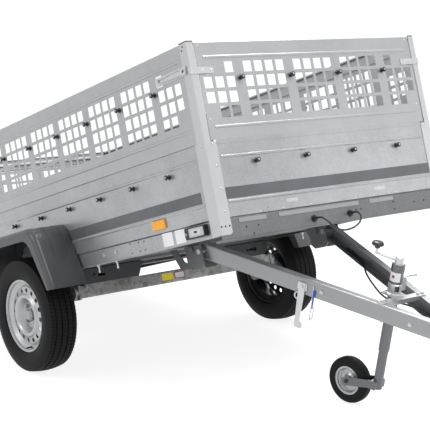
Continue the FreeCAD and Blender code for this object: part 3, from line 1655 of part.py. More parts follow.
print("tip", round(tip_deg, 4), "bend", bend_deg, "latched at", round(math.degrees(latched), 2))
print("shift", round(shift.x, 3), "knee", place(carry_drawbar, 0, 0, 0))
print("wheels", place(tip_bed, 0, wheel_mid, 0))
print("front gate", place(tip_bed, front_axis_x, 0, front_axis_z))
print("tailgate", place(tip_bed, x_rear - hinge_radius, 0, z_floor))
print("rear mesh", place(tip_bed, x_rear - hinge_radius, 0, z_top - header_depth))
print("jack foot", place(carry_drawbar, jack_forward, 0, leg_foot))
print("jockey axle", place(carry_fork, -jockey_trail, 0, jockey_h), "toward",
      place(carry_fork, -jockey_trail, half, jockey_h))
print("ball socket", place(carry_drawbar, ball_forward, 0, beam_top + head_low + socket_depth / 2))
print("floor", place(tip_bed, 0, 0, z_floor + floor_sheet))
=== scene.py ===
# %% [markdown]
# # A tipping utility trailer
# The imported model gives every rigid piece in metres, in one frame: +X is forward to the
# coupling, +Y is left and +Z is up. This file dresses those pieces.

# %% Load the frame
import json
import math
import bmesh
import bpy
from mathutils import Matrix, Vector
from mathutils.bvhtree import BVHTree


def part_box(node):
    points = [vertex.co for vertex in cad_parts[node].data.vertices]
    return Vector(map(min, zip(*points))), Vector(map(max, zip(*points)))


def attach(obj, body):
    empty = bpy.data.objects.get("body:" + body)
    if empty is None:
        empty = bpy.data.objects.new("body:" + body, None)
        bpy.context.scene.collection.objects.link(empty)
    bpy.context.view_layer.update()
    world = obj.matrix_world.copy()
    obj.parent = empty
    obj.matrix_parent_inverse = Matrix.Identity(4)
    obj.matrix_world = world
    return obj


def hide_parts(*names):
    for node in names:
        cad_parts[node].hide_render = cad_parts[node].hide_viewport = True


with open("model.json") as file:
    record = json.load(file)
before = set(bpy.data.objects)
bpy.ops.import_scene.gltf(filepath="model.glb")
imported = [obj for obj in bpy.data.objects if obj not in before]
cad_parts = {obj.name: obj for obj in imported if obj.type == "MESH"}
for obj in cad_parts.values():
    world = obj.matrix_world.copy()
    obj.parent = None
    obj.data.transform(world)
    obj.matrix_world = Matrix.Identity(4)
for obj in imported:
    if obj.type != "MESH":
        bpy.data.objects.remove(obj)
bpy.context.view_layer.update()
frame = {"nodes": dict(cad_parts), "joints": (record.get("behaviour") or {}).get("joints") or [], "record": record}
joints = {joint["name"]: joint for joint in frame["joints"]}
mounts = {mount["name"]: mount for mount in frame["record"]["mounts"]}

# %% [markdown]
# ## Level places on leaning parts
# The load bed stands tipped on its tail and the drawbar slopes down to its small wheel, so a
# place on either is easier to give as if it were level, and to carry over with a matrix.  The
# bed's floor mount gives the bed's slope, and the jack's slide gives the drawbar's.  A point
# on the level bed is in millimetres from the main axle, and one on the drawbar is from its
# knee pins.

# %% Carry points from the bed and the drawbar
mm = 0.001
to_metres = Matrix.Scale(mm, 4)
ahead, left, upward = Vector((1, 0, 0)), Vector((0, 1, 0)), Vector((0, 0, 1))
bed_up = Vector(mounts["load_floor"]["axis"]).normalized()
bar_up = Vector(joints["jack_height"]["axis"]).normalized()
bed_ahead = left.cross(bed_up)
axle_middle = Vector(joints["wheel_left_spin"]["pos_m"])
axle_middle.y = 0
knee = Vector(joints["bed_tilt"]["pos_m"])


def carried(up, origin):
    """The matrix that carries level millimetres into the model's frame."""
    turn = Matrix((left.cross(up), left, up)).transposed().to_4x4()
    return Matrix.Translation(origin) @ turn @ to_metres


on_bed = carried(bed_up, axle_middle)
on_drawbar = carried(bar_up, knee)
print("bed tipped by", round(math.degrees(math.asin(-bed_up.x)), 2), "degrees")

# %% [markdown]
# ## The camera
# The photograph was taken from ahead and to the right, low down, with a long lens.  A camera
# is a place, a direction and a lens.  It could be moved about until it looks right, but here
# all three were worked out from places on the trailer that the photograph shows, so the model
# falls on the same spots of the frame.

# %% Camera
view_from = on_bed @ Vector((4962, -3442, -10))
view_way = (on_bed.to_3x3() @ Vector((-0.7886, 0.6123, 0.0565))).normalized()
view_up = (on_bed.to_3x3() @ Vector((0.1554, 0.1095, 0.9818))).normalized()
view_side = view_way.cross(view_up).normalized()
view_up = view_side.cross(view_way).normalized()
lens = bpy.data.cameras.new("photo_lens")
lens.sensor_width = 36.0
lens.lens = 98.64
lens.clip_end = 200.0
camera = bpy.data.objects.new("photo_camera", lens)
camera.matrix_world = Matrix.Translation(view_from) @ Matrix(
    (view_side, view_up, -view_way)).transposed().to_4x4()
bpy.context.scene.collection.objects.link(camera)
bpy.context.scene.camera = camera
print("camera at", [round(value, 3) for value in view_from])

# %% [markdown]
# ## Shader maths as plain expressions
# A material is a graph of nodes, and long graphs are hard to read as a list of links.  A small
# class around a socket lets Python's own operators add the Math nodes, so 1 - mask or
# 0.3 + 0.1 * grain reads like a formula.


# %% A socket that can be added and multiplied
class Wire:
    """A node's output that takes part in sums, each of which adds a Math node."""

    def __init__(self, paint, socket):
        self.paint = paint
        self.socket = socket

    def __add__(self, other):
        return self.paint.sum_of("ADD", self, other)

    def __radd__(self, other):
        return self.paint.sum_of("ADD", other, self)

    def __sub__(self, other):
        return self.paint.sum_of("SUBTRACT", self, other)

    def __rsub__(self, other):
        return self.paint.sum_of("SUBTRACT", other, self)

    def __mul__(self, other):
        return self.paint.sum_of("MULTIPLY", self, other)

    def __rmul__(self, other):
        return self.paint.sum_of("MULTIPLY", other, self)


# %% [markdown]
# ## A material as one object
# Every finish of the trailer starts as a new material with its main shader.  All other nodes
# come from one method, which sets a node up and then fills its sockets.  Textures are laid out
# by places in metres rather than by unwrapped sheets, so a grain has the same size on a small
# bracket and on a long board, and no seam shows.


# %% A material built node by node
class Paint:
    """A material that is built node by node."""

    def __init__(self, name):
        self.material = bpy.data.materials.new(name)
        self.material.use_nodes = True
        self.tree = self.material.node_tree
        self.shader = self.tree.nodes["Principled BSDF"]

    def node(self, kind, settings=None, sockets=None, output=0):
        """Add a node, set it up first, then give its sockets their values or links."""
        made = self.tree.nodes.new(kind)
        for key, value in (settings or {}).items():
            if key == "stops":
                for stop, (place, shade) in zip(made.color_ramp.elements, value):
                    stop.position = place
                    stop.color = (shade, shade, shade, 1)
            else:
                setattr(made, key, value)
        for key, value in (sockets or {}).items():
            self.feed(made.inputs[key], value)
        return Wire(self, made.outputs[output])

    def feed(self, socket, value):
        """Link a wire into a socket, or write the value on it."""
        if isinstance(value, Wire):
            self.tree.links.new(value.socket, socket)
        elif hasattr(value, "__len__") and len(value) == 3 and socket.type == "RGBA":
            socket.default_value = (*value, 1.0)
        else:
            socket.default_value = value

    def surface(self, **sockets):
        """Feed the main shader; an underscore in a name stands for a space."""
        for key, value in sockets.items():
            self.feed(self.shader.inputs[key.replace("_", " ")], value)
        return self.material

    def places(self):
        """Places on the piece, in metres in the model's frame."""
        return self.node("ShaderNodeTexCoord", output=3)

    def sum_of(self, operation, first, second):
        """One Math node on two values or wires."""
        return self.node("ShaderNodeMath", {"operation": operation}, {0: first, 1: second})

    def noise(self, scale, detail=3.0, roughness=0.55):
        """Soft noise from 0 to 1, at so many blotches to the metre."""
        return self.node("ShaderNodeTexNoise", None, {
            "Vector": self.places(), "Scale": scale, "Detail": detail, "Roughness": roughness})

    def ramp(self, wire, low, high):
        """A wire pressed into a range, from a low to a high (place, value) stop."""
        return self.node("ShaderNodeValToRGB", {"stops": (low, high)}, {0: wire})

    def mixed(self, factor, first, second):
        """Two colours mixed by a value or a wire."""
        return self.node("ShaderNodeMix", {"data_type": "RGBA"},
                         {0: factor, 6: first, 7: second}, output=2)

    def bumped(self, height, distance):
        """A normal that follows a height, with the distance in metres."""
        return self.node("ShaderNodeBump", None,
                         {"Height": height, "Distance": distance, "Strength": 1.0})


# %% [markdown]
# ## Galvanised steel
# Sheet that is dipped in zinc gets fine crystals, called spangle, that each catch the light a
# little differently, with broad cloudy stains over them.  One noise alone would look like
# dust, so a Voronoi texture gives each crystal its own tone, and soft noise in two sizes gives
# the clouds and the stains.


# %% The recipe for zinc
def galvanised(name, shade, gloss, crystal=150.0, contrast=0.5, metal=0.6, relief=0.00003,
               painted_shade_above=None):
    """Zinc coated steel: a grey shade, its mean roughness, and crystals to the metre.

    It can be painted near black above a height along the bed's own up direction, in metres, as painted shade.
    """
    paint = Paint(name)
    cells = paint.node("ShaderNodeTexVoronoi", None,
                       {"Vector": paint.places(), "Scale": crystal}, output=1)
    tone = paint.node("ShaderNodeSeparateColor", None, {0: cells})
    cloud = paint.noise(2.4, 4.0)
    stain = paint.noise(14.0, 5.0, 0.6)
    patches = 0.30 * (tone - 0.5) + 1.5 * (cloud - 0.5) + 0.8 * (stain - 0.5)
    swing = 0.30 * contrast
    dark_shade = [value * (1 - swing) for value in shade]
    bright_shade = [value * (1 + swing) for value in shade]
    colour = paint.mixed(0.5 + contrast * patches, dark_shade, bright_shade)
    if painted_shade_above is not None:
        height = paint.node("ShaderNodeVectorMath", {"operation": "DOT_PRODUCT"},
                            {0: paint.places(), 1: bed_up}, output=1)
        above = paint.sum_of("GREATER_THAN", height, painted_shade_above)
        # Near black above the height: painted shade on the saddle plates.
        colour = paint.mixed(above, colour, (0.06, 0.062, 0.065))
    return paint.surface(
        Base_Color=colour,
        Metallic=metal,
        Roughness=gloss + 0.16 * (cloud - 0.5) - 0.08 * contrast * (tone - 0.5),
        Normal=paint.bumped(stain, relief),
    )


# %% [markdown]
# The boards are cut from sheet that was coated before, which is bright and even.  Welded parts
# such as the frame are dipped whole and come out duller, with larger blotches; the same dark steel
# also stands as painted shade on the far rail and the members under the bed.  The saddle plates
# on top of the axle lie in shadow under the bed, and that shade is painted: they are one piece
# with the axle, so above a height the steel turns near black.  Small fittings are zinc plated,
# which is pale and smooth.

# %% The steels
board_steel = galvanised("board_steel", (0.38, 0.39, 0.405), 0.32, contrast=0.75, metal=0.7,
                         relief=0.00001)
mesh_steel = galvanised("mesh_steel", (0.40, 0.41, 0.42), 0.34, metal=0.7, relief=0.00001)
post_steel = galvanised("post_steel", (0.50, 0.51, 0.525), 0.32, contrast=0.3)
# Darker than the boards: partly a duller dipped finish, partly painted shade on parts under the bed and on the far
# side.
dull_and_shaded_steel = galvanised("dull_and_shaded_steel", (0.17, 0.175, 0.185), 0.42, crystal=80.0, contrast=0.7)
beam_steel = galvanised("beam_steel", (0.31, 0.315, 0.325), 0.42, crystal=90.0, contrast=0.25,
                        metal=0.7, relief=0.0000001)
saddle_height = (on_bed @ Vector((0, 0, 92))).dot(bed_up)
# The saddle plates on the axle are painted near black here as shade.
axle_steel = galvanised("axle_steel", (0.30, 0.295, 0.29), 0.50, crystal=60.0, contrast=1.5,
                        metal=0.5, painted_shade_above=saddle_height)
zinc_plate = galvanised("zinc_plate", (0.55, 0.555, 0.565), 0.30, crystal=60.0, contrast=0.2,
                        metal=0.75, relief=0.00001)
tube_steel = galvanised("tube_steel", (0.14, 0.145, 0.155), 0.28, crystal=60.0, contrast=0.4,
                        metal=0.75, relief=0.00001)
floor_steel = galvanised("floor_steel", (0.30, 0.31, 0.32), 0.40)
print("steels", len(bpy.data.materials))

# %% [markdown]
# ## Plastic, rubber, paint and film
# Moulded pieces have a fine grain from the tool and a gloss that wanders a little.  The same
# recipe serves rubber, lacquer and printed film, with other shades and grains.  A lamp lens is
# a plain colour with moulded ribs, which a wave texture draws high and low, and also darker in
# the low of each rib as painted shade, so that the two line up.


# %% Recipes for moulded, printed and ribbed finishes
def moulded(name, shade, gloss, grain=900.0, depth=0.00006, metal=0.0):
    """Moulded or painted stuff with a fine grain and slightly uneven gloss."""
    paint = Paint(name)
    cloud = paint.noise(9.0)
    pores = paint.noise(grain, 2.0)
    lighter = [value * 1.18 + 0.002 for value in shade]
    return paint.surface(
        Base_Color=paint.mixed(paint.ramp(cloud, (0.3, 0.0), (0.7, 1.0)), shade, lighter),
        Metallic=metal,
        Roughness=gloss + 0.12 * (cloud - 0.5),
        Normal=paint.bumped(pores, depth),
    )


def printed(name, shade, gloss):
    """Paper or film, with a grain that is broad and hardly raised."""
    return moulded(name, shade, gloss, grain=300.0, depth=0.00002)


def ribbed(name, shade, gloss, ribs):
    """A lamp lens with fine moulded ribs, so many to the metre."""
    paint = Paint(name)
    waves = paint.node("ShaderNodeTexWave", {"bands_direction": "Z"},
                       {"Vector": paint.places(), "Scale": ribs, "Distortion": 0.0})
    cloud = paint.noise(30.0)
    rib_shade = [value * 0.88 for value in shade]
    return paint.surface(
        # The low of each rib is darker: painted shade that follows the bump.
        Base_Color=paint.mixed(paint.ramp(waves, (0.2, 0.0), (0.8, 1.0)), rib_shade, shade),
        Roughness=gloss + 0.06 * (cloud - 0.5),
        Normal=paint.bumped(waves, 0.0001),
    )


# %% [markdown]
# Tyre rubber is nearly black and hardly shines at the rim of a shape, so its specular level
# comes down.  That number is the same all over, so it is written on the shader's own socket.

# %% Plastics, rubber, lenses and labels
guard_plastic = moulded("guard_plastic", (0.052, 0.054, 0.058), 0.36)
black_plastic = moulded("black_plastic", (0.010, 0.010, 0.011), 0.34)
tyre_rubber = moulded("tyre_rubber", (0.004, 0.004, 0.0045), 0.58, grain=500.0, depth=0.0001)
tyre_rubber.node_tree.nodes["Principled BSDF"].inputs["Specular IOR Level"].default_value = 0.16
cable_sheath = moulded("cable_sheath", (0.008, 0.008, 0.009), 0.42)
jockey_paint = moulded("jockey_paint", (0.38, 0.39, 0.40), 0.28, grain=1400.0, depth=0.00002,
                       metal=0.6)
hub_iron = moulded("hub_iron", (0.30, 0.30, 0.31), 0.40, grain=700.0, depth=0.00004, metal=0.7)
amber_lens = ribbed("amber_lens", (1.0, 0.42, 0.01), 0.24, 160.0)
red_lens = ribbed("red_lens", (0.42, 0.010, 0.008), 0.18, 45.0)
clear_lens = ribbed("clear_lens", (0.50, 0.52, 0.55), 0.14, 60.0)
stripe_film = printed("stripe_film", (0.085, 0.090, 0.100), 0.34)
label_paper = printed("label_paper", (0.72, 0.73, 0.75), 0.50)
label_yellow = printed("label_yellow", (0.85, 0.68, 0.02), 0.45)
label_red = printed("label_red", (0.30, 0.03, 0.03), 0.45)
strap_blue = moulded("strap_blue", (0.015, 0.07, 0.42), 0.45)
# Near black discs stand for holes: painted shade for their dark insides.
hole_shade = moulded("hole_shade", (0.006, 0.006, 0.007), 0.80)
print("finishes", len(bpy.data.materials))

# %% [markdown]
# ## The painted rims
# The rims are silver outside.  The side that faces the trailer lies in shadow inside the barrel,
# and that shade is painted near black.  Two materials would need the faces sorted by hand.  Here
# one material tells the shaded side by its place, inward of the disc, or by a face that looks
# inward.


# %% The finish of the rims
def rim_finish(name, shade, painted_shade, disc_plane):
    """Silver paint on the outer side of a wheel, and painted shade, near black, inward of its disc."""
    paint = Paint(name)
    across = paint.node("ShaderNodeSeparateXYZ", None, {0: paint.places()}, output=1)
    normal = paint.node("ShaderNodeTexCoord", output=1)
    facing = paint.node("ShaderNodeSeparateXYZ", None, {0: normal}, output=1)
    side = paint.sum_of("SIGN", across, 0.0)
    inward = paint.sum_of("GREATER_THAN", -0.25, facing * side)
    behind = paint.sum_of("GREATER_THAN", disc_plane, across * side)
    in_painted_shade = paint.sum_of("MAXIMUM", inward, behind)
    cloud = paint.noise(12.0)
    pores = paint.noise(1400.0, 2.0)
    return paint.surface(
        Base_Color=paint.mixed(in_painted_shade, shade, painted_shade),
        Metallic=0.6 - 0.4 * in_painted_shade,
        Roughness=0.30 + 0.10 * (cloud - 0.5),
        Normal=paint.bumped(pores, 0.00002),
    )


disc_from_middle = 0.7665
# The second colour, near black, is painted shade for the shadowed inside of the barrel.
rim_paint = rim_finish("rim_paint", (0.44, 0.45, 0.46), (0.012, 0.012, 0.013), disc_from_middle)
print("rims are dark inward of", disc_from_middle, "m from the trailer's middle")

# %% [markdown]
# ## Finishes on the imported pieces
# Each CAD piece keeps its shape and gets its finish by name.  One table is easier to check
# than a call for each piece: a piece that is missing from it shows up in the last print.

# %% Give each CAD piece its finish
# The near rail takes the bright board steel and the far rail the dark steel: a lit and a shaded copy, so painted
# shade.
finishes = {
    "frame_rail_left": dull_and_shaded_steel, "frame_rail_right": board_steel, "cross_members": dull_and_shaded_steel,
    "tail_bar": dull_and_shaded_steel, "floor_panel": floor_steel, "side_board_left": board_steel,
    "side_board_right": board_steel, "front_board": board_steel, "lower_posts": post_steel,
    "upper_posts": post_steel, "post_caps": black_plastic, "side_mesh_left": mesh_steel,
    "side_mesh_right": mesh_steel, "side_latches": zinc_plate, "rope_hooks": black_plastic,
    "mudguard_left": guard_plastic, "mudguard_right": guard_plastic, "axle_beam": axle_steel,
    "trailing_arms": axle_steel, "knee_brackets": dull_and_shaded_steel, "marker_lamps": black_plastic,
    "marker_lenses": clear_lens, "side_reflectors": amber_lens, "tail_lamps": red_lens,
    "cable_loop": cable_sheath, "cable_grommets": black_plastic, "rear_header": post_steel,
    "gate_hinges": zinc_plate, "front_mesh": mesh_steel, "front_gate_straps": zinc_plate,
    "front_gate_hooks": black_plastic, "tailgate_board": board_steel, "rear_mesh": mesh_steel,
    "wheel_rim_left": rim_paint, "wheel_tyre_left": tyre_rubber, "wheel_hub_left": hub_iron,
    "wheel_rim_right": rim_paint, "wheel_tyre_right": tyre_rubber, "wheel_hub_right": hub_iron,
    "drawbar_beam_left": beam_steel, "drawbar_beam_right": beam_steel, "knee_pins": zinc_plate,
    "jack_plate": zinc_plate, "jack_clamp": zinc_plate, "jack_tube": tube_steel,
    "jack_crank": zinc_plate, "crank_knob": black_plastic, "coupling_head": zinc_plate,
    "coupling_handle": zinc_plate, "tilt_latch": zinc_plate, "latch_clip": zinc_plate,
    "drawbar_cable": cable_sheath, "cable_plug": black_plastic, "jack_leg": tube_steel,
    "jockey_fork": tube_steel, "jockey_rim": jockey_paint, "jockey_tyre": tyre_rubber,
}
for name, finish in finishes.items():
    piece = frame["nodes"][name]
    piece.data.materials.clear()
    piece.data.materials.append(finish)
print("without a finish:", sorted(set(frame["nodes"]) - set(finishes)))

# %% [markdown]
# ## Small pieces on real surfaces
# Rivets, bolts, studs and labels sit on the sheet metal, and the bed leans, so their places
# are found rather than measured: a straight line is sent against the CAD piece, and what it
# meets is the seat.  A piece made this way can neither float nor sink.


# %% Seats on a CAD piece
def surface_of(name):
    """A search tree of a CAD piece's faces."""
    piece = frame["nodes"][name]
    corners = [piece.matrix_world @ vertex.co for vertex in piece.data.vertices]
    return BVHTree.FromPolygons(corners, [face.vertices[:] for face in piece.data.polygons])


def seats(name, carry, way, spots, outside=120):
    """Where lines against a direction meet a CAD piece, each as a place and the direction."""
    skin_of_piece = surface_of(name)
    heading = (carry.to_3x3() @ Vector(way)).normalized()
    found = []
    for spot in spots:
        start = carry @ (Vector(spot) + outside * Vector(way))
        place = skin_of_piece.ray_cast(start, -heading, 3 * outside * mm)[0]
        if place is None:
            print("nothing to sit on:", name, spot)
        else:
            found.append((place, heading))
    return found


def raised(places, height):
    """The same seats, higher by some millimetres."""
    return [(place + height * mm * heading, heading) for place, heading in places]


def both_sides(spots):
    """Spots and their mirror images on the other side of the trailer."""
    return [(x, side * y, z) for x, y, z in spots for side in (1, -1)]


# %% [markdown]
# ## From a bmesh to a piece
# Heads of rivets and bolts are turned shapes: one profile goes round an axis, as on a lathe.
# Blender's own cylinders could stand for them, but they have no dome, rim or washer.  A bmesh
# takes all heads of a row, so a row is one piece, and shading is smooth except at real edges.


# %% Turned shapes on seats
def keep(name, made, finish, body):
    """Turn a bmesh into a piece that rides on a body."""
    bmesh.ops.recalc_face_normals(made, faces=made.faces)
    data = bpy.data.meshes.new(name)
    made.to_mesh(data)
    made.free()
    data.shade_smooth()
    data.set_sharp_from_angle(angle=math.radians(35))
    data.materials.append(finish)
    piece = bpy.data.objects.new(name, data)
    bpy.context.scene.collection.objects.link(piece)
    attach(piece, body)
    return piece


def skin(made, rings):
    """Faces from each closed ring of vertices to the next, which may be a single tip."""
    for one, two in zip(rings, rings[1:]):
        for step in range(len(one)):
            after = (step + 1) % len(one)
            if len(two) == 1:
                made.faces.new((one[step], one[after], two[0]))
            else:
                made.faces.new((one[step], one[after], two[after], two[step]))


def turned(made, carry, sides, profile):
    """Add a turned shape, from (radius, height) pairs in millimetres up to a radius of 0."""
    rings = []
    for radius, height in profile:
        angles = [step * math.tau / sides for step in range(sides if radius else 1)]
        rings.append([made.verts.new(carry @ Vector((
            radius * math.cos(angle), radius * math.sin(angle), height))) for angle in angles])
    skin(made, rings)
    made.faces.new(rings[0][::-1])


def turned_set(name, places, shapes, finish, body):
    """One piece with the same turned shapes, as (sides, profile) pairs, on every seat."""
    made = bmesh.new()
    for place, heading in places:
        turn = heading.to_track_quat("Z", "Y").to_matrix().to_4x4()
        for sides, profile in shapes:
            turned(made, Matrix.Translation(place) @ turn @ to_metres, sides, profile)
    print(name, len(places))
    return keep(name, made, finish, body)


# %% [markdown]
# Labels, tabs and pads are thin plates with rounded corners.  Each is drawn as two outlines,
# low and high, with a wall between them, so it has real edges and a closed mesh.


# %% Thin plates on seats
def plate_set(name, places, along, size, corner, thick, finish, body):
    """One piece with a thin plate with rounded corners on every seat, sized (along, across)."""
    made = bmesh.new()
    arc_steps = 4
    for place, heading in places:
        run = (along - heading * along.dot(heading)).normalized()
        turn = Matrix((run, heading.cross(run), heading)).transposed().to_4x4()
        carry = Matrix.Translation(place) @ turn @ to_metres
        rim = []
        for quarter, (side, end) in enumerate(((1, 1), (-1, 1), (-1, -1), (1, -1))):
            for step in range(arc_steps + 1):
                angle = (quarter + step / arc_steps) * math.tau / 4
                rim.append((side * (size[0] / 2 - corner) + corner * math.cos(angle),
                            end * (size[1] / 2 - corner) + corner * math.sin(angle)))
        low, high = [[made.verts.new(carry @ Vector((x, y, z))) for x, y in rim]
                     for z in (0, thick)]
        made.faces.new(low[::-1])
        made.faces.new(high)
        skin(made, [low, high])
    print(name, len(places))
    return keep(name, made, finish, body)


# %% [markdown]
# ## Rivets on the corner posts
# The panels are riveted to the corner posts, so each joint shows as a row of heads.  A rivet is
# a low dome.  The spots are read off the photograph for the front right post.  The other posts
# mirror it, which is how such sheets are cut, so only one list has to be right.

# %% Rivets on the corner posts
flanks = ((left, "left"), (-left, "right"))
rivet = [(12, [(5.5, -0.5), (5.5, 0.6), (4.4, 2.0), (2.4, 2.9), (0, 3.1)])]
front_post_x, rear_post_x = 1381, -1305
post_front_y, post_side_y = 609, 650
post_rows = (524, 435, 346, 255)
lower_spots = ((1356, 518), (1316, 388), (1317, 248), (1357, 205))
upper_spots = ((1317, 857), (1317, 734), (1356, 560))


def front_and_rear(spots, y):
    """Side spots, as (x, z), on a front post and on the rear post behind it."""
    both_x = front_post_x + rear_post_x
    return [(x, y, z) for x, z in spots] + [(both_x - x, y, z) for x, z in spots]


def flank_rivets(way, tag):
    """The rivets on the outer sides of the posts, on one side of the trailer."""
    for row_name, post, spots in (("side_rivets_", "lower_posts", lower_spots),
                                  ("upper_rivets_", "upper_posts", upper_spots)):
        row = seats(post, on_bed, way, front_and_rear(spots, post_side_y * way.y))
        turned_set(row_name + tag, row, rivet, post_steel, "chassis")


for way, x, tag in ((ahead, front_post_x, "front"), (-ahead, rear_post_x, "rear")):
    row = seats("lower_posts", on_bed, way, both_sides([(x, post_front_y, z) for z in post_rows]))
    turned_set("post_rivets_" + tag, row, rivet, post_steel, "chassis")

# %% [markdown]
# ## Bolts, holes and studs on the side rails
# The frame is bolted: a bolt is a hexagon on a round washer.  Spare holes are punched through
# the rail, and two threaded studs hang below it.  Cutting real holes would change the CAD
# piece, so a hole is a very thin near black disc, painted shade for the dark inside of the hole,
# which at this size looks the same.  Each side of the trailer is dressed in one go, its posts
# first and then its rail.

# %% Bolts, holes and studs on the side rails
bolt = [(20, [(9.0, -0.5), (9.0, 1.5), (0, 1.5)]),
        (6, [(7.4, 1.0), (7.4, 5.6), (6.4, 6.6), (0, 6.6)])]
punched = [(12, [(4.0, -0.3), (4.0, 0.25), (3.4, 0.3), (0, 0.3)])]
stud = [(6, [(8.0, -0.5), (8.0, 7.0), (6.6, 8.0), (0, 8.0)]),
        (12, [(4.0, 7.0), (4.0, 32.0), (3.0, 34.0), (0, 34.0)])]
rail_y, rail_middle_y, rail_bolt_z, rail_foot_z = 642, 622, 200, 163
rail_bolt_x, rail_stud_x = (-1180, -820, -500, 514, 616), (420, 577)
rail_hole_spots = ((735, 220), (739, 178), (799, 218), (841, 216), (843, 180), (802, 178))
for way, tag in flanks:
    flank_rivets(way, tag)
    rail = "frame_rail_" + tag
    row = seats(rail, on_bed, way, [(x, rail_y * way.y, rail_bolt_z) for x in rail_bolt_x])
    turned_set("rail_bolts_" + tag, row, bolt, zinc_plate, "chassis")
    row = seats(rail, on_bed, way, [(x, rail_y * way.y, z) for x, z in rail_hole_spots])
    turned_set("rail_holes_" + tag, row, punched, hole_shade, "chassis")
    row = seats(rail, on_bed, -upward,
                [(x, rail_middle_y * way.y, rail_foot_z) for x in rail_stud_x])
    turned_set("rail_studs_" + tag, row, stud, zinc_plate, "chassis")

# %% [markdown]
# ## Fixings on the front, the gate and the floor
# The front board is riveted along its foot, the posts and the front member have spare holes,
# and the floor sheet is riveted down to each member.  Heads on the folding gate ride with the
# gate, so that they swing down with it.

# %% Fixings on the front, the gate and the floor
small_rivet = [(10, [(3.8, -0.5), (3.8, 0.4), (2.4, 1.5), (0, 1.9)])]
board_x, strap_x = 1379, 1385


def on_front(name, spots, x=board_x):
    """Seats on a piece at the front, for spots as (y, z)."""
    return seats(name, on_bed, ahead, [(x, y, z) for y, z in spots])


board_foot = on_front("front_board", [(y, 238) for y in (-431, -307, -158, 213, 353)])
turned_set("board_rivets", board_foot, small_rivet, post_steel, "chassis")
toe_spots = both_sides([(front_post_x, y, 197) for y in (640, 620, 600)])
turned_set("toe_holes", seats("lower_posts", on_bed, ahead, toe_spots), punched,
           hole_shade, "chassis")
top_holes = []
for way, _ in flanks[::-1]:
    top_holes += seats("upper_posts", on_bed, way, [
        (x, post_side_y * way.y, z) for x, z in ((1354, 919), (1345, 905))])
turned_set("top_holes", top_holes, punched, hole_shade, "chassis")
member_holes = on_front("cross_members", (
    (-516, 184), (-453, 184), (-483, 154), (90, 187), (121, 186), (322, 198), (323, 165),
    (516, 184), (453, 184)))
turned_set("member_holes", member_holes, punched, hole_shade, "chassis")
gate_spots = both_sides([(board_x, 594, z) for z in (916, 732, 620)])
turned_set("gate_rivets", seats("front_mesh", on_bed, ahead, gate_spots), small_rivet,
           post_steel, "front_gate")
strap_spots = both_sides([(strap_x, y, 816.5) for y in (592, 548)])
turned_set("strap_rivets", seats("front_gate_straps", on_bed, ahead, strap_spots), small_rivet,
           zinc_plate, "front_gate")
floor_spots = [(x, y, 240) for x in (1300, 846, 157, -450, -1240)
               for y in (-520, -260, 0, 260, 520)]
turned_set("floor_rivets", seats("floor_panel", on_bed, upward, floor_spots), small_rivet,
           post_steel, "chassis")

# %% [markdown]
# ## Fixings on the drawbar
# The beams come together at 17 degrees each side, so their outer faces look along a slanted
# direction.  Bolts go through the webs, and the cross plate is bolted down on the flanges.
# The slope of the web gives each bolt's place across, so the bolts follow the beam.

# %% Drawbar bolts
slant = math.radians(17.2)
web_at_knee = 387


def web_y(along):
    """How far a beam's outer face is from the middle, so far ahead of the knee."""
    return web_at_knee - along * math.tan(slant)


web_bolts = ((564, 2), (946, -4), (1040, -4))
foot_bolt = [(6, [(6.5, -0.5), (6.5, 5.0), (0, 5.0)]), (10, [(3.0, 4.0), (3.0, 12.0), (0, 12.0)])]
foot_along, foot_inside, foot_z = 815, 22, -35
for side, tag in ((1, "left"), (-1, "right")):
    beam = "drawbar_beam_" + tag
    outward = Vector((math.sin(slant), side * math.cos(slant), 0))
    row = seats(beam, on_drawbar, outward, [(u, side * web_y(u), h) for u, h in web_bolts])
    turned_set("web_bolts_" + tag, row, bolt, zinc_plate, "drawbar")
    row = seats(beam, on_drawbar, -upward,
                [(foot_along, side * (web_y(foot_along) - foot_inside), foot_z)])
    turned_set("lower_bolt_" + tag, row, foot_bolt, zinc_plate, "drawbar")
plate_spots = both_sides([(807, 118, 40), (807, 92, 40)])
turned_set("plate_bolts", seats("jack_plate", on_drawbar, upward, plate_spots), bolt,
           zinc_plate, "drawbar")

# %% [markdown]
# ## Screws in the rope hooks
# Every rope hook is a plastic button held by one screw through its middle.  The hooks are
# separate solids of one CAD piece.  Their places could be listed again, but each loose part
# of the mesh is one hook, and the middle of its outermost ring is where the screw goes.


# %% Loose parts of a CAD piece
def loose_parts(name):
    """The places of the vertices of each separate part of a CAD piece."""
    piece = frame["nodes"][name]
    work = bmesh.new()
    work.from_mesh(piece.data)
    bmesh.ops.remove_doubles(work, verts=work.verts, dist=0.00001)
    waiting = set(work.verts)
    parts = []
    while waiting:
        edge_of_search = [waiting.pop()]
        part = []
        while edge_of_search:
            vertex = edge_of_search.pop()
            part.append(piece.matrix_world @ vertex.co)
            for edge in vertex.link_edges:
                other = edge.other_vert(vertex)
                if other in waiting:
                    waiting.remove(other)
                    edge_of_search.append(other)
        parts.append(part)
    work.free()
    return parts


# %% Hook screws
screw = [(12, [(3.8, -0.4), (3.8, 0.4), (3.0, 1.0), (1.4, 1.0), (1.0, 0.4), (0, 0.4)])]
front_hooks_within = 0.6
for name, body in (("rope_hooks", "chassis"), ("front_gate_hooks", "front_gate")):
    hook_seats = []
    for part in loose_parts(name):
        middle = sum(part, Vector()) / len(part)
        heading = bed_ahead
        if abs(middle.y) >= front_hooks_within:
            heading = Vector((0, math.copysign(1, middle.y), 0))
        reach = max(place.dot(heading) for place in part)
        tip = [place for place in part if place.dot(heading) > reach - 0.2 * mm]
        hook_seats.append((sum(tip, Vector()) / len(tip), heading))
    turned_set(name + "_screws", hook_seats, screw, zinc_plate, body)

# %% [markdown]
# ## Stripes and labels
# A dark stripe of film runs along the sides and the front, low on the boards, between two
# pressed beads, and paper labels sit on the rails and the axle.  Colour alone could show them,
# but as thin plates they have an edge and a gloss of their own.  All are left plain: nothing
# is printed on them.

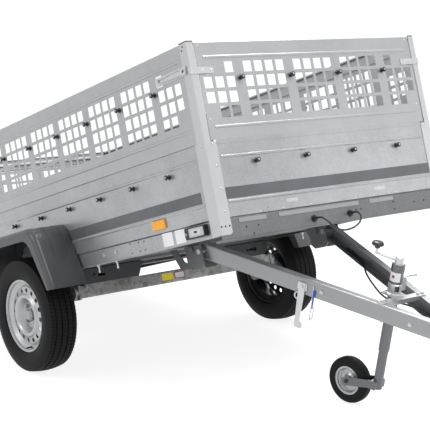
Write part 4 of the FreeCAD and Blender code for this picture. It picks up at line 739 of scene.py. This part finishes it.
# %% Stripes and labels
stripe_z, stripe_height, film = 325, 46, 0.35
side_stripe_ends, front_stripe_length = (1298, 262), 1176
for way, tag in flanks:
    middle = (sum(side_stripe_ends) / 2, 647 * way.y, stripe_z)
    plate_set("stripe_" + tag, seats("side_board_" + tag, on_bed, way, [middle]), bed_ahead,
              (side_stripe_ends[0] - side_stripe_ends[1], stripe_height), 2, film,
              stripe_film, "chassis")
    for count, (x, length) in enumerate(((1020, 72), (1109, 68))):
        spot = seats("frame_rail_" + tag, on_bed, way, [(x, 644 * way.y, 199)])
        plate_set("rail_label_%s_%d" % (tag, count), spot, bed_ahead, (length, 56), 3,
                  film, label_paper, "chassis")
plate_set("stripe_front", on_front("front_board", [(0, stripe_z)]), left,
          (front_stripe_length, stripe_height), 2, film, stripe_film, "chassis")
for name, y, width, finish in (("label_warning", -83, 66, label_yellow),
                               ("label_data", -8, 64, label_red)):
    spot = on_front("axle_beam", [(y, 63)], x=167)
    plate_set(name, spot, left, (width, 34), 2, film, finish, "chassis")
plate_set("label_data_field", raised(spot, 0.3), left, (54, 26), 2, film, label_paper, "chassis")

# %% [markdown]
# ## Tabs, lip and pads on the front board
# Three tabs hang below the front board, a folded lip closes the gap above it, under the folding
# gate, and two small pads stand where the real sheet is stamped.  They are low, flat steel
# shapes, so the same thin plates serve, with the steel's own thickness.

# %% Tabs, lip and pads
for name, y, width in (("tab_right", -478, 142), ("tab_middle", -115, 452), ("tab_left", 250, 146)):
    plate_set(name, on_front("cross_members", [(y, 214)]), left, (width, 17), 3, 2.0,
              beam_steel, "chassis")
lip_rise = 5.5
lip = [(place + lip_rise * mm * bed_up, heading)
       for place, heading in on_front("front_board", [(0, 526)])]
plate_set("board_lip", lip, left, (1172, 19), 2, 1.2, board_steel, "chassis")
pads = on_front("front_board", [(y, 265) for y in (-254, 254)])
plate_set("board_pads", pads, left, (66, 15), 7, 0.8, post_steel, "chassis")
plate_set("board_pad_tops", raised(pads, 0.8), left, (44, 7), 3, 0.6,
          post_steel, "chassis")

# %% [markdown]
# ## The jack's label
# The jack tube has a blank label wrapped round it, with one plain spot.  A flat plate would
# stand off the tube at its ends, so the sheet is bent: its section goes round the tube in
# small steps.


# %% Jack label
def wrapped(made, carry, radius, thick, heights, angles, steps):
    """A sheet bent round a tube, as a closed solid between two angles in degrees."""
    low, high = heights
    first, last = angles
    corners = ((radius, low), (radius, high), (radius + thick, high), (radius + thick, low))
    sections = []
    for step in range(steps + 1):
        angle = math.radians(first + (last - first) * step / steps)
        sections.append([made.verts.new(carry @ Vector((
            r * math.cos(angle), r * math.sin(angle), h))) for r, h in corners])
    skin(made, sections)
    made.faces.new(sections[0][::-1])
    made.faces.new(sections[-1])


jack_middle = on_drawbar @ Matrix.Translation((759, 0, 0))
sleeve = bmesh.new()
wrapped(sleeve, jack_middle, 26.6, 0.4, (97, 136), (-125, -15), 14)
keep("jack_label", sleeve, label_paper, "drawbar")
mark = bmesh.new()
wrapped(mark, jack_middle, 27.0, 0.3, (112, 124), (-92, -68), 5)
keep("jack_label_spot", mark, label_red, "drawbar")
print("jack label at", [round(value, 3) for value in jack_middle.translation])

# %% [markdown]
# ## The clip's strap
# The spring clip of the tilting latch hangs from a moulded blue strap, so that it isn't lost.
# A loose cord would need its own rest shape for every pose.  A short stiff strap with a button
# on the beam's web looks much the same and stays with the drawbar.

# %% Clip strap
strap_along, strap_z = 535, -8
right_way = Vector((math.sin(slant), -math.cos(slant), 0))
strap_top = seats("drawbar_beam_right", on_drawbar, right_way,
                  [(strap_along, -web_y(strap_along), strap_z)])
button = [(16, [(7, -0.5), (7, 4.0), (5, 6.5), (0, 6.5)])]
turned_set("strap_button", strap_top, button, strap_blue, "drawbar")
strap_length, strap_drop, strap_stand_off = 78, 34, 4
strap_middle = [(place - strap_drop * mm * bar_up, heading)
                for place, heading in raised(strap_top, strap_stand_off)]
plate_set("clip_strap", strap_middle, bar_up, (strap_length, 8), 3.9, 2.4, strap_blue, "drawbar")

# %% [markdown]
# ## Lamps
# A marker lamp is a black housing round a ribbed lens, with a bright reflector bowl and a bulb
# behind it, and two screws.  The tail lamps have an amber field beside the red one.  Clear
# plastic with parts inside it is slow to render and hard to read this small, so the bowl and
# the bulb are thin plates on the lens.

# %% Lamp details
reflector_screw = [(10, [(2.6, -0.5), (2.6, 0.6), (0, 0.9)])]
for way, tag in flanks:
    lens_spot = seats("marker_lenses", on_bed, way, [(1249, 670 * way.y, 200)])
    plate_set("lamp_bowl_" + tag, lens_spot, bed_ahead, (64, 22), 6, 0.5, zinc_plate,
              "chassis")
    plate_set("lamp_bulb_" + tag, raised(lens_spot, 0.5), bed_ahead, (22, 9), 4, 0.5,
              black_plastic, "chassis")
    corner = seats("marker_lamps", on_bed, way, [(1176, 664 * way.y, 199)])
    turned_set("lamp_screw_" + tag, corner, small_rivet, zinc_plate, "chassis")
    ends = seats("side_reflectors", on_bed, way, [(x, 654 * way.y, 265.5) for x in (946, 1024)])
    turned_set("reflector_screws_" + tag, ends, reflector_screw, zinc_plate, "chassis")
    amber = seats("tail_lamps", on_bed, -ahead, [(-1331, 468 * way.y, 115)])
    plate_set("turn_lamp_" + tag, amber, left, (48, 52), 6, 0.5, amber_lens, "chassis")

# %% [markdown]
# ## Pressed rims
# A steel wheel is two pressings: a rolled barrel, and a dished disc welded into it.  The ring
# of vent holes sits well out on the disc, on a flat step round the bulge, and bends down to the
# seat of the wheel bolts.  A screwed or spun modifier could turn them, but a closed section of
# (radius, reach) points is plain to read.  The vents are drilled through the disc.


# %% Shapes turned round the axle
def round_axle(middle, angle, radius, reach):
    """The place at an angle round the axle, with the radius and the reach in millimetres."""
    return middle + mm * Vector((radius * math.cos(angle), reach, radius * math.sin(angle)))


def turned_ring(made, middle, outward, section, steps):
    """Add a closed section turned round the axle, from (radius, outward reach) pairs."""
    rings = [[made.verts.new(round_axle(middle, math.tau * step / steps, radius, outward * reach))
              for radius, reach in section] for step in range(steps)]
    skin(made, rings + rings[:1])


def drilled(piece, cutters):
    """Cut other solids out of a piece, and drop them."""
    cut = piece.modifiers.new("holes", "BOOLEAN")
    cut.object = cutters
    cut.solver = "EXACT"
    seen = piece.evaluated_get(bpy.context.evaluated_depsgraph_get())
    data = bpy.data.meshes.new_from_object(seen)
    piece.modifiers.clear()
    piece.data = data
    bpy.data.objects.remove(cutters)


# %% [markdown]
# The lists follow the pressings from edge to edge, and the disc's back is its face moved in by
# the thickness of the sheet.  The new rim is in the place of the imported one, which stays for
# the physics.

# %% Rims with vent holes
sheet, wheel_plane, rim_steps = 4.0, 0.7515, 96
tyre_side = [(182.5, -65.5), (166, -61.5), (165, -51.5), (142, -37.5),
             (142, 37.5), (165, 51.5), (166, 61.5), (182.5, 65.5)]
axle_side = [(180.5, 65.5), (162, 58.5), (160, 50.5), (138, 36.5),
             (138, -36.5), (160, -50.5), (162, -58.5), (180.5, -65.5)]
disc_face = [(140, 22), (138.5, 36), (136, 41.5), (132, 43), (107, 44.5), (104, 46.5),
             (101, 51), (98, 54.5), (93, 56.5), (88, 56), (83, 53), (78, 46), (71, 30),
             (67, 21), (64, 18), (29, 18)]
disc_back = [(radius, reach - sheet) for radius, reach in disc_face[::-1]]
vents, vent_circle, vent = 16, 119.5, [(10.8, -60), (10.8, 60), (0, 60)]
for tag, outward in (("left", 1), ("right", -1)):
    low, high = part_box("wheel_rim_" + tag)
    middle = (low + high) / 2
    middle.y = outward * wheel_plane
    disc = bmesh.new()
    turned_ring(disc, middle, outward, disc_face + disc_back, rim_steps)
    disc = keep("disc_" + tag, disc, rim_paint, "wheel_" + tag)
    pins = bmesh.new()
    for count in range(vents):
        place = round_axle(middle, math.tau * count / vents, vent_circle, 0)
        along_axle = Matrix.Translation(place) @ left.to_track_quat("Z", "Y").to_matrix().to_4x4()
        turned(pins, along_axle @ to_metres, 20, vent)
    drilled(disc, keep("vent_pins", pins, rim_paint, "wheel_" + tag))
    barrel = bmesh.new()
    turned_ring(barrel, middle, outward, tyre_side + axle_side, rim_steps)
    barrel = keep("barrel_" + tag, barrel, rim_paint, "wheel_" + tag)
    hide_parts("wheel_rim_" + tag)
    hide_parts("wheel_rim_" + tag)
    print("rim", tag, "faces", len(disc.data.polygons), len(barrel.data.polygons))

# %% [markdown]
# ## Tyres with a tread
# A tyre is turned from its cross section, and the mould cuts grooves round it and sipes
# across it.  Cutting some thousand sipes as booleans would take minutes.  Here the section is
# repeated round the wheel, the grooves are in the section, and the sipes push single steps of
# a rib inwards, a little later across the rib, so they slant.

# %% The section of a tyre
side_wall = ((0.80, 170), (0.90, 176), (0.965, 194), (1.0, 214), (0.985, 232), (0.93, 246))
lining = ((0.70, 176), (0.80, 200), (0.74, 236), (0.40, 250))
grooves = ((-44, 5), (-15, 6), (15, 6), (44, 5))
tread_share, crown_drop, groove_depth, groove_wall = 0.86, 8, 6, 0.6


def tyre_section(outer, half_width):
    """The section as (across, radius, rib) with rib None off the tread, in millimetres."""
    shoulder = tread_share * half_width
    edges = [-shoulder]
    for middle, width in grooves:
        edges += [middle - width / 2, middle + width / 2]
    edges.append(shoulder)
    tread = []
    for rib, (start, stop) in enumerate(zip(edges[::2], edges[1::2])):
        tread += [(start + (stop - start) * share, 0, rib) for share in (0, 0.25, 0.5, 0.75, 1)]
        if rib < len(grooves):
            tread += [(stop + groove_wall, groove_depth, None),
                      (edges[2 * rib + 2] - groove_wall, groove_depth, None)]
    section = [(-share * half_width, radius, None) for share, radius in side_wall]
    for across, depth, rib in tread:
        section.append((across, outer - crown_drop * (across / shoulder) ** 2 - depth, rib))
    section += [(share * half_width, radius, None) for share, radius in side_wall[::-1]]
    section += [(share * half_width, radius, None) for share, radius in lining]
    return section + [(-share * half_width, radius, None) for share, radius in lining[::-1]]


print("points round a tyre's section", len(tyre_section(270, 80)))


# %% Tyres and valves
pitches, steps_each, sipe_depth, clearance = 96, 6, 2.6, 0.3
valve_stem = [(12, [(5.5, -1), (5.5, 3), (4, 6), (4, 18), (3.2, 20), (3.2, 26), (0, 26)])]
valve_radius, valve_angle = 150, math.radians(-78)


def sipe_lag(across, rib):
    """How many steps later a sipe comes at a place across a rib."""
    slope = 0.12 * across if rib in (1, 2, 3) else 0.05 * abs(across)
    return round(slope) + 3 * rib


def treaded(middle, section):
    """A tyre's mesh, with sipes cut in the ribs of its section."""
    made = bmesh.new()
    rings = []
    count = pitches * steps_each
    for step in range(count):
        ring = []
        for across, radius, rib in section:
            if rib is not None and (step + sipe_lag(across, rib)) % steps_each == 0:
                radius -= sipe_depth
            ring.append(made.verts.new(
                round_axle(middle, math.tau * step / count, radius, across)))
        rings.append(ring)
    skin(made, rings + rings[:1])
    return made


for way, tag in flanks:
    low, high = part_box("wheel_tyre_" + tag)
    middle = (low + high) / 2
    outer = min(high.x - low.x, high.z - low.z) / 2 / mm - clearance
    half_width = (high.y - low.y) / 2 / mm - clearance
    made = treaded(middle, tyre_section(outer, half_width))
    tyre = keep("tyre_" + tag, made, tyre_rubber, "wheel_" + tag)
    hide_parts("wheel_tyre_" + tag)
    spot = (valve_radius * math.cos(valve_angle), 0, valve_radius * math.sin(valve_angle))
    hole = seats("wheel_rim_" + tag, Matrix.Translation(middle) @ to_metres, way, [spot])
    turned_set("valve_" + tag, hole, valve_stem, black_plastic, "wheel_" + tag)
    print("tyre", tag, "radius", round(outer, 1), "half width", round(half_width, 1))

# %% [markdown]
# ## The studio
# A pale floor and an even white world, as round a packshot.  The world is dimmer for lighting
# than it looks to the camera, to mirrors and through glass, so that the background is white
# and metal shows it, while pale surfaces keep their tone.  The floor glows a little in the
# same rays, which lifts it to the background's white and still leaves the trailer's shadow.


# %% Floor and world
def seen_directly(tree):
    """1 where a ray comes straight from the camera, from a mirror or through glass."""
    path = tree.nodes.new("ShaderNodeLightPath")
    total = path.outputs["Is Camera Ray"]
    for name in ("Is Glossy Ray", "Is Transmission Ray"):
        either = tree.nodes.new("ShaderNodeMath")
        either.operation = "MAXIMUM"
        tree.links.new(total, either.inputs[0])
        tree.links.new(path.outputs[name], either.inputs[1])
        total = either.outputs[0]
    return total


def scaled(tree, socket, factor, offset):
    """A socket times a factor plus an offset."""
    sum_node = tree.nodes.new("ShaderNodeMath")
    sum_node.operation = "MULTIPLY_ADD"
    sum_node.inputs[1].default_value = factor
    sum_node.inputs[2].default_value = offset
    tree.links.new(socket, sum_node.inputs[0])
    return sum_node.outputs[0]


floor_half, floor_grey, glow_strength, glow_share = 90, 0.86, 1.3, 0.66
floor_mesh = bpy.data.meshes.new("studio_floor")
floor_mesh.from_pydata([(x * floor_half, y * floor_half, 0)
                        for x, y in ((-1, -1), (1, -1), (1, 1), (-1, 1))], [], [(0, 1, 2, 3)])
floor = bpy.data.objects.new("studio_floor", floor_mesh)
bpy.context.scene.collection.objects.link(floor)
floor_paint = bpy.data.materials.new("studio_floor")
floor_paint.use_nodes = True
tree = floor_paint.node_tree
matt = tree.nodes["Principled BSDF"]
matt.inputs["Base Color"].default_value = (floor_grey, floor_grey, floor_grey, 1)
matt.inputs["Roughness"].default_value = 0.9
matt.inputs["Specular IOR Level"].default_value = 0.1
glow = tree.nodes.new("ShaderNodeEmission")
glow.inputs["Strength"].default_value = glow_strength
blend = tree.nodes.new("ShaderNodeMixShader")
tree.links.new(scaled(tree, seen_directly(tree), glow_share, 0.0), blend.inputs[0])
tree.links.new(matt.outputs[0], blend.inputs[1])
tree.links.new(glow.outputs[0], blend.inputs[2])
tree.links.new(blend.outputs[0], tree.nodes["Material Output"].inputs["Surface"])
floor.data.materials.append(floor_paint)

world_light = 0.52
world = bpy.data.worlds.new("studio")
world.use_nodes = True
bpy.context.scene.world = world
tree = world.node_tree
background = tree.nodes["Background"]
background.inputs["Color"].default_value = (1, 1, 1, 1)
tree.links.new(scaled(tree, seen_directly(tree), 1 - world_light, world_light),
               background.inputs["Strength"])
print("floor", 2 * floor_half, "m across, world lights at", world_light)

# %% [markdown]
# Bare zinc shows what is around it, so each face of the trailer needs its own soft light.  The
# key and the side lamp light the front and the near side.  A weak sheen lamp is what the front
# board mirrors to the camera.  The back and the top lamp draw the bright upper edges of beads
# and beams, which a photographer gets from a wide cloth above.


# %% Lamps
def soft_lamp(name, place, target, size, power):
    """A square lamp that shines from one point towards another."""
    data = bpy.data.lights.new(name, "AREA")
    data.energy = power
    data.size = size
    lamp = bpy.data.objects.new(name, data)
    lamp.location = place
    lamp.rotation_euler = (Vector(target) - Vector(place)).to_track_quat("-Z", "Y").to_euler()
    bpy.context.scene.collection.objects.link(lamp)
    print(name, power, "W")


soft_lamp("key_lamp", (4.2, 0.5, 6.0), (0.3, 0, 0.6), 2.4, 260)
soft_lamp("side_lamp", (-1.5, -6.0, 4.5), (0, 0, 0.8), 3.0, 130)
soft_lamp("sheen_lamp", (4.8, 4.4, 1.9), (1.2, 0, 0.9), 1.6, 9)
soft_lamp("back_lamp", (-3.5, 5.0, 5.0), (0.8, 0, 0.6), 5.0, 220)
soft_lamp("top_lamp", (0.3, 1.0, 4.0), (1.6, 0, 0.5), 1.5, 120)
bpy.context.scene.view_settings.view_transform = "Standard"
